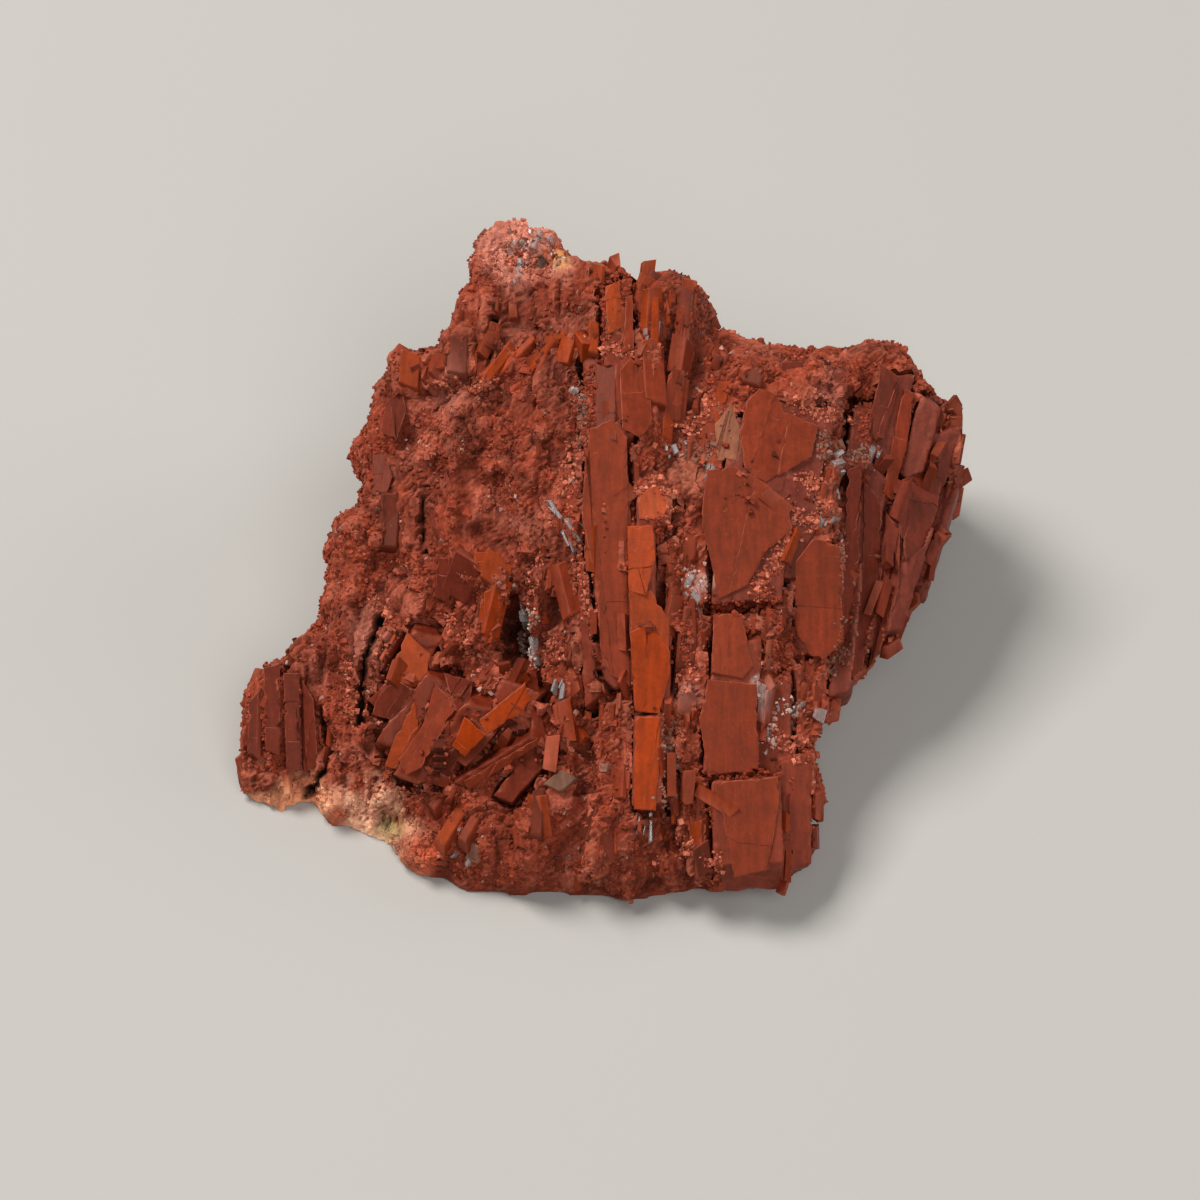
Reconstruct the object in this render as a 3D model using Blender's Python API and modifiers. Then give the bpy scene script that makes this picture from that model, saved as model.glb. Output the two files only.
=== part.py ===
"""Red gypsum on matrix: a wedge of granular rock with fans of flat gypsum blades grown into its face.

The rock lies on a flat underside. Its face looks up and forward, towards -Y, and is described in a
frame of its own: x across, h up the face, w out of it. Places in that frame are in millimetres, and
the solids are scaled to metres when they are finished.
"""

import math

import bmesh
import bpy
from mathutils import Matrix, Vector, noise

# Driving dimensions, in metres.
LENGTH = 0.030
DEPTH = 0.0252
HEIGHT = 0.0146
SEAM = 0.0003  # the gap kept between a crystal group and the rock round it

MM = 0.001
FACE_RISE = math.radians(51)  # the face frame's w axis stands this far above the horizontal
FACE_ORIGIN = Vector((0.0, -1.5, 6.3))
BODY_VOXEL = 0.5
BODY_TRIANGLES = 5000
FAR = 30.0  # beyond the rock on every side, for the blocks that it is cut from and with
SINK = 1.6  # how far a blade reaches down into the rock below its visible top
CHISEL = 0.35  # how far a blade's top face stops short of its ends
UNDER_WIDTH = 0.8  # of a blade's width, at its hidden underside
BACK_SLANT = 0.22  # how much of a back blade's length its broken top slants over
OVER = 0.02  # keeps cutters and joints from sharing a plane

# The rock's outline as seen straight onto its face: x, h.
OUTLINE = (
    (-2.6, 16.2), (-1.8, 15.3), (-1.1, 14.2), (-0.4, 13.6), (0.9, 14.0), (1.7, 13.3), (2.9, 13.3),
    (3.8, 13.6), (4.1, 12.1), (4.5, 10.9), (5.1, 10.4), (7.2, 10.4), (8.4, 10.2), (10.5, 10.5),
    (13.0, 10.3), (13.5, 8.8), (14.2, 8.4), (14.5, 7.6), (15.1, 7.4), (15.3, 6.6), (14.9, 5.7),
    (15.3, 5.2), (15.2, 4.2), (14.6, 2.9), (13.6, 1.3), (12.8, -0.7), (12.2, -1.8), (11.9, -2.4),
    (11.1, -3.4), (10.2, -4.0), (9.7, -4.8), (8.9, -4.8), (8.5, -5.7), (8.9, -6.6), (8.6, -7.4),
    (8.5, -9.2), (8.5, -11.3), (7.7, -12.8), (4.5, -14.2), (-0.4, -14.0), (-5.4, -13.2),
    (-10.3, -11.6), (-12.0, -10.6), (-13.7, -9.3), (-14.8, -7.9), (-15.2, -6.8), (-14.8, -4.4),
    (-14.4, -3.3), (-13.2, -2.4), (-11.5, -1.4), (-11.0, 0.1), (-10.9, 2.7), (-10.2, 3.6),
    (-9.8, 4.8), (-10.1, 6.1), (-9.6, 6.9), (-9.0, 9.0), (-8.7, 10.2), (-6.4, 10.4), (-6.2, 11.4),
    (-5.7, 12.4), (-5.3, 14.3), (-4.7, 15.4), (-3.5, 16.0),
)

# The rock's outline from above: x, y.
PLAN = (
    (-4.0, 12.9), (-0.5, 12.6), (4.5, 11.9), (8.0, 10.5), (13.0, 10.2), (15.4, 8.0), (15.2, 4.5),
    (12.6, 0.5), (10.2, -2.6), (9.4, -7.0), (8.6, -10.6), (5.6, -11.8), (0.0, -12.0), (-5.5, -11.4),
    (-10.2, -10.2), (-13.8, -8.2), (-15.4, -5.4), (-14.8, -1.2), (-12.0, 1.6), (-11.0, 5.4),
    (-9.6, 9.4), (-6.6, 12.2),
)

# Flat broken faces on the back and sides: a place on each and its outward direction, in the world.
BROKEN_FACES = (
    ((-8.0, 10.6, 5.0), (-0.62, 0.77, -0.05)), ((1.5, 12.1, 4.0), (0.1, 0.94, -0.3)),
    ((6.5, 10.9, 6.0), (0.3, 0.95, -0.05)), ((-12.6, 0.6, 3.0), (-0.75, 0.6, -0.25)),
    ((-3.6, 12.6, 7.0), (-0.15, 0.98, -0.12)), ((13.4, 9.4, 5.5), (0.6, 0.75, -0.25)),
    ((-9.5, -10.2, 1.0), (-0.4, -0.85, -0.3)), ((10.4, -6.0, 2.0), (0.85, -0.3, -0.4)),
)

# How far the face stands out of its own frame at chosen places: x, h, w.
FACE_HEIGHTS = (
    (-3.3, 15.0, -2.8), (-3.6, 12.6, -2.2), (-1.6, 12.6, -1.4), (-4.8, 10.8, -2.2), (1.4, 12.4, -0.9),
    (0.8, 10.2, 0.3), (3.2, 10.6, -0.6), (-8.0, 9.0, -3.0), (-5.8, 9.6, -2.2), (-3.2, 9.6, -0.2),
    (-9.0, 6.2, -2.6), (-7.2, 6.6, -1.0), (-7.0, 3.4, 0.0), (-9.4, 1.0, -1.8), (-4.8, 6.6, 0.6),
    (-4.8, 3.2, 1.0), (-2.4, 6.6, 1.4), (-1.6, 3.2, 2.0), (-7.4, 0.2, 0.2), (-5.4, 0.2, 0.9),
    (-3.4, -1.4, -0.8), (-3.6, -0.2, 0.4), (0.2, 6.8, 1.7), (0.6, 2.8, 2.4), (0.8, -1.4, 2.8),
    (2.4, -4.4, 3.2), (1.8, -8.4, 3.6), (3.6, 6.2, 1.1), (4.4, 2.6, 2.2), (4.8, -1.4, 2.8),
    (3.8, -6.6, 3.4), (5.6, -4.2, 3.7), (7.6, -5.4, 2.6), (5.8, 8.6, 0.4), (7.4, 6.2, 1.6),
    (9.6, 9.4, -0.6), (12.4, 9.2, -2.4), (10.4, 6.4, -0.4), (12.8, 6.0, -1.6), (14.4, 5.4, -2.8),
    (8.4, 3.2, 2.0), (8.8, -0.8, 1.9), (11.2, 3.4, 0.4), (12.6, 1.2, -1.2), (10.2, -2.4, 0.0),
    (-1.4, -1.2, 1.9), (-1.2, -4.4, 2.7), (-2.6, -7.0, 3.1), (-5.0, -4.8, 1.9), (-7.8, -3.4, 0.7),
    (-7.8, -6.8, 1.4), (-10.0, -4.4, 0.5), (-10.8, -2.2, -0.8), (-10.6, -7.6, 0.6),
    (-13.0, -4.2, -1.0), (-13.2, -6.8, -1.0), (-12.6, -9.0, -1.6), (-10.2, -9.8, -0.4),
    (-6.4, -9.6, 2.2), (-2.4, -10.0, 3.4), (1.6, -11.0, 3.8), (6.0, -10.0, 4.0), (8.0, -9.0, 2.6),
    (-4.4, -12.0, 2.6), (4.0, -12.6, 3.8),
)
SMOOTHING = 0.8
FALLOFF = 1.7  # how fast a place's say fades with distance
FACE_CELLS = 44  # across the grid that the face is raised from
FACE_SPAN = 18.0  # half the width of that grid
ABOVE_FACE = 12.0  # the outline is drawn out this far above the face frame
BELOW_REST = 1.2  # and the plan this far below the surface that the rock lies on

# The slanting cut below the right lobe: a place on it, its tilt and turn, and how far it reaches.
LOBE_PLACE = (8.6, 0.0, -1.2)
LOBE_TILT = math.radians(-34)
LOBE_TURN = math.radians(-9)
LOBE_REACH = ((0.0, -14.0, -14.0), (20.0, 20.0, 0.0))

# The rock's relief: ridges that lean more to the right of LEAN_START, and lumps, coarse and fine.
LEAN_LIMITS = (-4.0, 18.0)
LEAN_START = 3.0
LEAN_RATE = 2.2  # degrees to a millimetre
RIDGE_SCALES = ((1.1, 0.22, 0.5), (2.3, 0.4, 1.0))  # across, along and out of the face
RIDGE_SHIFT = 7.0
RIDGE_RISE = 0.6
LUMP_SCALES = (0.55, 1.3)
LUMP_SHIFT = Vector((3.0, 9.0, 1.0))
LUMP_RISE = 0.55

# Blades, one to a row: foot x, h, tip x, h, width, lift of the top face at foot and tip, roll in
# degrees, slant of both ends across the width. The crystals of one group overlap and are one solid.
CENTRE_BLADES = (
    (1.0, -3.8, 0.1, 7.4, 1.75, 0.5, 0.6, 4, 0.5),
    (-0.2, -4.4, -0.7, 2.6, 0.9, 0.1, 0.2, -14, 0.7),
    (0.8, 6.2, 0.7, 13.5, 1.25, 0.7, 0.7, 6, 0.5),
    (-0.3, 6.8, -0.4, 10.6, 0.8, 0.3, 0.1, -12, 0.4),
    (1.9, -8.6, 1.95, -4.3, 1.3, 1.1, 0.9, -8, 0.1),
    (2.1, -4.7, 2.2, -0.9, 1.5, 1.0, 1.1, 5, -0.4),
    (1.75, -1.7, 1.65, 3.1, 1.15, 1.3, 0.9, -4, 0.3),
    (2.2, 2.6, 2.3, 4.8, 1.5, 0.8, 0.8, 10, 0.5),
    (2.75, -8.4, 2.7, -5.0, 0.6, 0.6, 0.5, 12, 0.2),
)
RIGHT_BLADES = (
    (7.2, 3.7, 8.4, 8.3, 2.9, 0.5, 0.7, 6, 0.4),
    (5.5, 3.4, 6.4, 7.6, 1.7, 0.4, 0.4, -8, -0.4),
    (5.9, -0.4, 6.5, 4.2, 2.9, 0.3, 0.5, 3, 0.6),
    (8.6, -2.5, 9.3, 2.4, 1.9, 0.6, 0.5, -10, 0.7),
    (7.5, 0.6, 8.4, 4.2, 1.5, 0.3, 0.3, 9, 0.3),
    (11.5, 5.6, 12.7, 9.7, 1.15, 0.3, 0.4, 14, 0.6),
    (12.7, 4.6, 13.8, 8.6, 1.0, 0.2, 0.4, -10, -0.5),
    (13.7, 3.9, 14.6, 7.4, 0.95, 0.0, 0.3, 12, 0.6),
    (12.9, 0.3, 14.5, 5.0, 1.15, 0.2, 0.3, -12, 0.4),
    (10.2, -1.8, 11.6, 5.7, 1.1, 0.3, 0.4, 15, -0.6),
    (11.1, -2.2, 12.6, 4.7, 1.0, 0.2, 0.3, -6, 0.7),
    (11.9, -1.6, 13.5, 3.3, 0.95, 0.2, 0.4, 10, 0.4),
    (9.7, -4.2, 10.9, 1.9, 0.95, 0.2, 0.4, -8, 0.4),
    (10.4, 5.0, 11.2, 8.5, 0.95, 0.3, 0.5, 9, 0.4),
)
LOWER_RIGHT = (
    (5.2, -7.1, 5.6, -1.4, 2.1, 0.7, 0.6, 5, 0.7),
    (6.0, -11.9, 5.9, -6.9, 2.9, 0.9, 1.1, -3, 0.1),
    (8.0, -11.2, 8.0, -6.0, 1.3, 0.3, 0.6, 12, 0.4),
    (7.1, -7.4, 7.0, -2.8, 1.5, 0.2, 0.3, -6, 0.4),
)
LOWER_LEFT = (
    (-9.3, -4.8, -7.6, -3.1, 1.4, 0.7, 1.2, -10, 0.2),
    (-8.3, -3.8, -6.9, -1.1, 1.3, 0.6, 1.0, 8, 0.3),
    (-8.5, -6.4, -6.4, -2.9, 1.8, 0.8, 1.2, 4, 0.3),
    (-8.1, -7.6, -5.7, -3.6, 1.25, 1.0, 1.5, -12, 0.3),
    (-7.0, -7.8, -4.8, -4.0, 1.25, 0.8, 1.4, 10, 0.3),
    (-6.2, -6.7, -4.5, -4.9, 1.3, 1.2, 1.6, 4, 0.1),
    (-5.0, -6.0, -3.0, -3.2, 1.8, 0.6, 1.2, -14, 0.5),
    (-5.9, -7.8, -2.2, -5.5, 0.7, 0.7, 1.0, 20, 0.4),
    (-2.4, -5.9, -3.0, -2.2, 0.6, 0.7, 0.8, 16, 0.3),
    (-4.2, -8.4, -2.0, -5.7, 0.9, 0.4, 0.7, -10, 0.3),
)

# Blades and stubs so grown over that they are part of the rock itself, in the same form.
GROWN_IN = (
    (-14.5, -7.4, -14.2, -3.6, 0.9, 0.3, 0.5, 8, 0.2), (-13.5, -7.9, -13.3, -2.8, 0.9, 0.6, 0.7, -6, 0.3),
    (-12.5, -8.1, -12.3, -2.2, 1.0, 0.7, 0.6, 7, 0.4),
    (-5.9, 9.0, -5.8, 11.5, 1.0, 1.2, 0.9, 4, 0.2), (-6.9, 8.6, -6.9, 10.5, 0.9, 0.9, 0.8, -8, 0.2),
    (-8.1, 8.2, -8.1, 10.4, 1.0, 1.0, 0.9, 6, 0.3), (-8.9, 2.2, -8.8, 4.6, 0.9, 0.7, 0.7, 12, 0.4),
    (3.1, 8.0, 3.8, 13.2, 0.7, 0.5, 0.5, 9, 0.3), (2.1, 6.4, 2.2, 13.1, 0.6, 0.7, 0.7, -8, 0.3),
    (-4.6, 8.2, -4.2, 13.0, 0.9, 0.5, 0.5, 10, 0.4), (-2.6, 8.0, -2.0, 12.0, 0.9, 0.5, 0.4, -9, 0.4),
    (-5.8, 2.6, -5.4, 6.6, 1.0, 0.4, 0.4, 12, 0.4), (-3.2, 2.4, -2.9, 7.0, 1.1, 0.4, 0.3, -12, 0.5),
    (-7.6, 1.6, -7.2, 5.6, 0.9, 0.5, 0.4, 9, 0.3), (3.6, -5.4, 3.7, 0.6, 0.9, 0.5, 0.4, 12, 0.4),
    (4.1, -11.6, 4.0, -6.2, 0.9, 0.5, 0.5, -8, 0.2), (-1.7, -8.8, -1.3, -4.2, 1.0, 0.4, 0.4, 10, 0.4),
    (-3.0, -10.8, -2.6, -8.2, 0.8, 0.6, 0.8, -12, 0.2), (0.0, -11.0, 0.3, -5.4, 0.9, 0.4, 0.4, 8, 0.3),
    (-4.9, -2.2, -4.4, 1.4, 1.1, 0.6, 0.5, -14, 0.4), (-2.4, -1.8, -2.0, 1.6, 0.9, 0.5, 0.5, 12, 0.3),
    (8.9, 8.4, 10.6, 9.6, 1.4, 0.5, 0.6, 6, 0.3), (5.4, 8.2, 7.0, 10.0, 1.1, 0.6, 0.6, -8, 0.3),
    (-6.6, -11.0, -5.6, -8.6, 0.9, 0.5, 0.6, 12, 0.2), (-9.2, -9.2, -8.2, -7.0, 1.0, 0.4, 0.5, -8, 0.2),
)

# Blades on the hidden back and sides, straight in the world frame: foot, tip, width, thickness.
BACK_BLADES = (
    ((-4.9, 11.8, 1.4), (-3.4, 12.1, 9.6), 1.9, 1.4), ((-2.0, 11.6, 1.8), (-2.6, 12.0, 8.2), 1.3, 1.2),
    ((0.6, 11.2, 1.2), (1.3, 11.7, 9.6), 2.0, 1.4), ((3.0, 11.0, 1.6), (2.7, 11.5, 7.4), 1.4, 1.5),
    ((6.4, 10.3, 1.8), (7.8, 10.2, 7.6), 1.8, 1.2), ((-7.9, 9.7, 1.2), (-7.2, 10.2, 6.6), 1.6, 1.3),
    ((10.9, 9.2, 3.6), (11.9, 9.7, 7.4), 1.4, 1.1),
)

# Black cracks and clefts in the face, as runs of places x, h with a width and a depth.
CRACKS = (
    (((-9.1, -0.8), (-9.4, -1.7), (-9.7, -2.6), (-9.8, -3.8), (-9.9, -5.0)), 0.3, 2.0),
    (((-4.4, 11.8), (-4.6, 10.4), (-4.9, 9.2)), 0.45, 1.4),
)
CRACK_TOP = 0.8  # a slot's cutter starts this far above the face

# Hollows between the crystals: x, h, half width, half height, depth.
RECESSES = (
    (-3.5, -1.3, 0.95, 2.3, 2.2), (-2.0, -0.6, 0.5, 1.2, 1.0), (-6.2, -0.6, 0.8, 0.7, 1.1),
    (-8.2, 1.0, 0.7, 0.9, 0.9), (3.0, -9.6, 0.7, 1.0, 1.0), (4.4, 4.8, 0.6, 1.1, 0.9),
    (-0.9, 9.2, 0.6, 1.2, 0.9), (9.9, 4.4, 0.5, 1.2, 1.0), (-4.2, 4.8, 0.8, 0.7, 0.7),
    (-6.6, 8.0, 0.7, 0.7, 0.9), (7.9, -4.2, 0.5, 0.9, 0.9),
)
RECESS_LIFT = 0.2  # how far a hollow's middle lies above the face

# The colour and roughness of each solid.
LOOKS = {
    "matrix": ((0.36, 0.075, 0.045), 0.8),
    "blade_group_centre": ((0.27, 0.045, 0.022), 0.35),
    "blade_group_right": ((0.22, 0.04, 0.024), 0.4),
    "block_group_lower_right": ((0.28, 0.045, 0.022), 0.35),
    "crystal_group_lower_left": ((0.24, 0.035, 0.018), 0.25),
}
GROUPS = (
    ("blade_group_centre", CENTRE_BLADES),
    ("blade_group_right", RIGHT_BLADES),
    ("block_group_lower_right", LOWER_RIGHT),
    ("crystal_group_lower_left", LOWER_LEFT),
)


def clear_scene():
    for item in list(bpy.data.objects):
        bpy.data.objects.remove(item, do_unlink=True)


def collection(name, hidden=False):
    made = bpy.data.collections.new(name)
    bpy.context.scene.collection.children.link(made)
    made.hide_render = hidden
    return made


def face_matrix():
    """Turns the face frame's x, h, w into the world's millimetres."""
    up = Vector((0.0, math.sin(FACE_RISE), math.cos(FACE_RISE)))
    out = Vector((0.0, -math.cos(FACE_RISE), math.sin(FACE_RISE)))
    turned = Matrix((Vector((1.0, 0.0, 0.0)), up, out)).transposed()
    return Matrix.Translation(FACE_ORIGIN) @ turned.to_4x4()


FACE = face_matrix()


def face_height(x, h):
    """The rock's height out of the face frame, blended between the chosen places."""
    total = 0.0
    weights = 0.0
    for px, ph, pw in FACE_HEIGHTS:
        near = (x - px) ** 2 + (h - ph) ** 2 + SMOOTHING**2
        weight = near**-FALLOFF
        total += weight * pw
        weights += weight
    return total / weights


def object_from(bm, name, group, matrix=None):
    if matrix is not None:
        bm.transform(matrix)
    bmesh.ops.recalc_face_normals(bm, faces=bm.faces[:])
    mesh = bpy.data.meshes.new(name)
    bm.to_mesh(mesh)
    bm.free()
    made = bpy.data.objects.new(name, mesh)
    group.objects.link(made)
    return made


def extruded_outline(points, name, group, low, high, matrix):
    """A flat outline as a filled 2D curve, extruded between two heights, made a closed mesh."""
    curve = bpy.data.curves.new(name, "CURVE")
    curve.dimensions = "2D"
    curve.fill_mode = "BOTH"
    curve.extrude = (high - low) / 2
    spline = curve.splines.new("POLY")
    spline.points.add(len(points) - 1)
    for point, place in zip(spline.points, points):
        point.co = (place[0], place[1], 0.0, 1.0)
    spline.use_cyclic_u = True
    guide = bpy.data.objects.new(name + "_curve", curve)
    group.objects.link(guide)
    graph = bpy.context.evaluated_depsgraph_get()
    mesh = bpy.data.meshes.new_from_object(guide.evaluated_get(graph))
    bm = bmesh.new()
    bm.from_mesh(mesh)
    bmesh.ops.remove_doubles(bm, verts=bm.verts[:], dist=0.0001)
    bpy.data.objects.remove(guide)
    middle = Matrix.Translation((0.0, 0.0, (low + high) / 2))
    return object_from(bm, name, group, matrix @ middle)


def apply_boolean(target, other, operation, solver="EXACT"):
    """Joins, cuts or intersects, and leaves the result as the target's own mesh.

    MANIFOLD is for the crystals: EXACT drops whole bodies from some of their many overlaps.
    """
    modifier = target.modifiers.new(operation.lower(), "BOOLEAN")
    modifier.operation = operation
    modifier.solver = solver
    modifier.object = other
    bake(target)
    bpy.data.objects.remove(other)


def bake(target):
    """Replaces an object's mesh by what its modifiers make of it."""
    bpy.context.view_layer.update()
    graph = bpy.context.evaluated_depsgraph_get()
    mesh = bpy.data.meshes.new_from_object(target.evaluated_get(graph))
    target.modifiers.clear()
    target.data = mesh


def blade(row, name, group, grow=0.0, sink=SINK):
    """A flat crystal: a slanted bar that runs along the face, its top lifted clear of the rock."""
    foot_x, foot_h, tip_x, tip_h, width, foot_lift, tip_lift, roll, slant = row
    foot = Vector((foot_x, foot_h, face_height(foot_x, foot_h) + foot_lift))
    tip = Vector((tip_x, tip_h, face_height(tip_x, tip_h) + tip_lift))
    along = (tip - foot).normalized()
    across = Vector((along.y, -along.x, 0.0)).normalized()
    across = Matrix.Rotation(math.radians(roll), 3, along) @ across
    out = across.cross(along)
    bm = bmesh.new()
    bmesh.ops.create_cube(bm, size=1.0)
    length = (tip - foot).length + 2 * grow
    for vert in bm.verts:
        side = vert.co.x * (width + 2 * grow)
        run = vert.co.y * length + vert.co.x * slant
        if vert.co.z > 0:
            depth = grow
            run -= math.copysign(CHISEL, vert.co.y)
        else:
            depth = -sink - grow
            side *= UNDER_WIDTH
        vert.co = (foot + tip) / 2 + across * side + along * run + out * depth
    return object_from(bm, name, group, FACE)


def back_blade(foot, tip, width, thickness, group):
    """A flat crystal on the back, its width along X and its top broken off at a slant."""
    along = Vector(tip) - Vector(foot)
    bm = bmesh.new()
    bmesh.ops.create_cube(bm, size=1.0)
    for vert in bm.verts:
        run = vert.co.z + 0.5
        if vert.co.z > 0 and vert.co.y > 0:
            run -= BACK_SLANT
        side = Vector((vert.co.x * width, vert.co.y * thickness, 0.0))
        vert.co = Vector(foot) + along * run + side
    return object_from(bm, "back_blade", group)


def box(low, high, name, group, matrix=None):
    bm = bmesh.new()
    bmesh.ops.create_cube(bm, size=1.0)
    for vert in bm.verts:
        vert.co = Vector([l + (h - l) * (c + 0.5) for l, h, c in zip(low, high, vert.co)])
    return object_from(bm, name, group, matrix)


def face_block(group):
    """The solid under the face: a grid raised to the face's heights and drawn down behind it."""
    bm = bmesh.new()
    bmesh.ops.create_grid(bm, x_segments=FACE_CELLS, y_segments=FACE_CELLS, size=FACE_SPAN)
    skin = bm.faces[:]
    drawn = bmesh.ops.extrude_face_region(bm, geom=skin)
    raised = [item for item in drawn["geom"] if isinstance(item, bmesh.types.BMVert)]
    for vert in bm.verts:
        vert.co.z = -FAR
    for vert in raised:
        vert.co.z = face_height(vert.co.x, vert.co.y)
    for face in skin:
        face.normal_flip()
    return object_from(bm, "face_block", group, FACE)


def roughness(place):
    """Ridges that run with the blades, fanning out to the right, and lumps where the rock is granular."""
    local = FACE.inverted() @ place
    lowest, highest = LEAN_LIMITS
    lean = math.radians(max(lowest, min(highest, (local.x - LEAN_START) * LEAN_RATE)))
    across = local.x * math.cos(lean) - local.y * math.sin(lean)
    along = local.x * math.sin(lean) + local.y * math.cos(lean)
    broad, fine = RIDGE_SCALES
    ridges = noise.noise(Vector((across * broad[0], along * broad[1], local.z * broad[2])))
    ridges += 0.5 * noise.noise(Vector((across * fine[0], along * fine[1], local.z * fine[2] + RIDGE_SHIFT)))
    coarse, small = LUMP_SCALES
    lumps = noise.noise(place * coarse) + 0.6 * noise.noise(place * small + LUMP_SHIFT)
    return RIDGE_RISE * ridges + LUMP_RISE * lumps


def even_out(body):
    """Gives the rock an even skin with no folds in it."""
    remesh = body.modifiers.new("even", "REMESH")
    remesh.mode = "VOXEL"
    remesh.voxel_size = BODY_VOXEL
    bake(body)


def rock_body(cutters):
    """The rock before its blades: outline, plan and face intersected, roughened and thinned out."""
    body = extruded_outline(OUTLINE, "rock", cutters, -FAR, ABOVE_FACE, FACE)
    apply_boolean(body, face_block(cutters), "INTERSECT")
    plan = extruded_outline(PLAN, "plan", cutters, -BELOW_REST, FAR, Matrix.Identity(4))
    apply_boolean(body, plan, "INTERSECT")
    apply_boolean(body, lobe_underside(cutters), "DIFFERENCE")
    for place, outward in BROKEN_FACES:
        turn = Vector(outward).to_track_quat("Z", "Y").to_matrix().to_4x4()
        beyond = Matrix.Translation(place) @ turn
        slab = box((-FAR, -FAR, 0.0), (FAR, FAR, FAR), "broken", cutters, beyond)
        apply_boolean(body, slab, "DIFFERENCE")
    even_out(body)
    for vert in body.data.vertices:
        place = vert.co.copy()
        vert.co = place + vert.normal * roughness(place)
    even_out(body)
    thin = body.modifiers.new("thin", "DECIMATE")
    thin.ratio = BODY_TRIANGLES / (2 * len(body.data.polygons))
    bake(body)
    return body


def lobe_underside(cutters):
    """What is cut away below the right lobe, which overhangs the surface it lies on."""
    turned = Matrix.Rotation(LOBE_TILT, 4, "Y") @ Matrix.Rotation(LOBE_TURN, 4, "Z")
    return box(*LOBE_REACH, "lobe_underside", cutters, Matrix.Translation(LOBE_PLACE) @ turned)


def crack_cutters(cutters):
    """Thin slots run from place to place, one short box each."""
    made = []
    for places, width, depth in CRACKS:
        for start, end in zip(places, places[1:]):
            row = (*start, *end, width, CRACK_TOP, CRACK_TOP, 0, 0.0)
            made.append(blade(row, "crack", cutters, OVER, depth + CRACK_TOP))
    return made


def recess_cutters(cutters):
    """Hollows between the crystals, each a squashed faceted ball set into the face."""
    made = []
    for x, h, half_width, half_height, depth in RECESSES:
        bm = bmesh.new()
        bmesh.ops.create_icosphere(bm, subdivisions=1, radius=1.0)
        bmesh.ops.scale(bm, vec=(half_width, half_height, depth), verts=bm.verts[:])
        bmesh.ops.translate(bm, vec=(x, h, face_height(x, h) + RECESS_LIFT), verts=bm.verts[:])
        made.append(object_from(bm, "recess", cutters, FACE))
    return made


def joined_blades(rows, name, group):
    first = blade(rows[0], name, group)
    for row in rows[1:]:
        apply_boolean(first, blade(row, "blade", group), "UNION", "MANIFOLD")
    return first


def drop_crumbs(item):
    """Removes the loose bits that cutting leaves, and keeps the largest body."""
    bm = bmesh.new()
    bm.from_mesh(item.data)
    left = set(bm.faces)
    bodies = []
    while left:
        front = [left.pop()]
        body = set(front)
        while front:
            near = {face for edge in front.pop().edges for face in edge.link_faces} & left
            left -= near
            body |= near
            front.extend(near)
        bodies.append(body)
    largest = max(bodies, key=len)
    crumbs = [face for face in bm.faces if face not in largest]
    bmesh.ops.delete(bm, geom=crumbs, context="FACES")
    bm.to_mesh(item.data)
    bm.free()


def outer_box(cutters):
    """The real bounds, which every solid is trimmed to."""
    low = (-LENGTH / MM / 2, -DEPTH / MM / 2, 0.0)
    high = (LENGTH / MM / 2, DEPTH / MM / 2, HEIGHT / MM)
    return box(low, high, "bounds", cutters)


def dress(item, group):
    """Gives a finished solid its material and real size, and moves it to the object's collection."""
    colour, rough = LOOKS[item.name]
    material = bpy.data.materials.new(item.name)
    material.use_nodes = True
    shader = material.node_tree.nodes["Principled BSDF"]
    shader.inputs["Base Color"].default_value = (*colour, 1.0)
    shader.inputs["Roughness"].default_value = rough
    item.data.materials.clear()
    item.data.materials.append(material)
    item.data.transform(Matrix.Scale(MM, 4))
    item.display_type = "TEXTURED"
    for holder in item.users_collection:
        holder.objects.unlink(item)
    group.objects.link(item)


def main():
    clear_scene()
    parts = collection("gypsum_on_matrix")
    cutters = collection("cutters", hidden=True)
    matrix = rock_body(cutters)
    matrix.name = "matrix"
    for row in GROWN_IN:
        apply_boolean(matrix, blade(row, "grown", cutters), "UNION", "MANIFOLD")
    for row in BACK_BLADES:
        apply_boolean(matrix, back_blade(*row, cutters), "UNION", "MANIFOLD")
    for cutter in crack_cutters(cutters) + recess_cutters(cutters):
        apply_boolean(matrix, cutter, "DIFFERENCE", "MANIFOLD")
    groups = []
    for name, rows in GROUPS:
        for row in rows:
            pocket = blade(row, "pocket", cutters, SEAM / MM)
            apply_boolean(matrix, pocket, "DIFFERENCE", "MANIFOLD")
        groups.append(joined_blades(rows, name, cutters))
    for item in (matrix, *groups):
        apply_boolean(item, outer_box(cutters), "INTERSECT", "MANIFOLD")
        drop_crumbs(item)
        dress(item, parts)


main()
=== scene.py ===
"""Red gypsum on matrix: the looks. The rock gets a rough skin, the crystals get worn edges and smooth
cleavage faces, and small blades, grains and clear splinters grow over both. Shapes are worked in
millimetres, and each piece is scaled to metres when it is finished."""

import math

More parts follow.
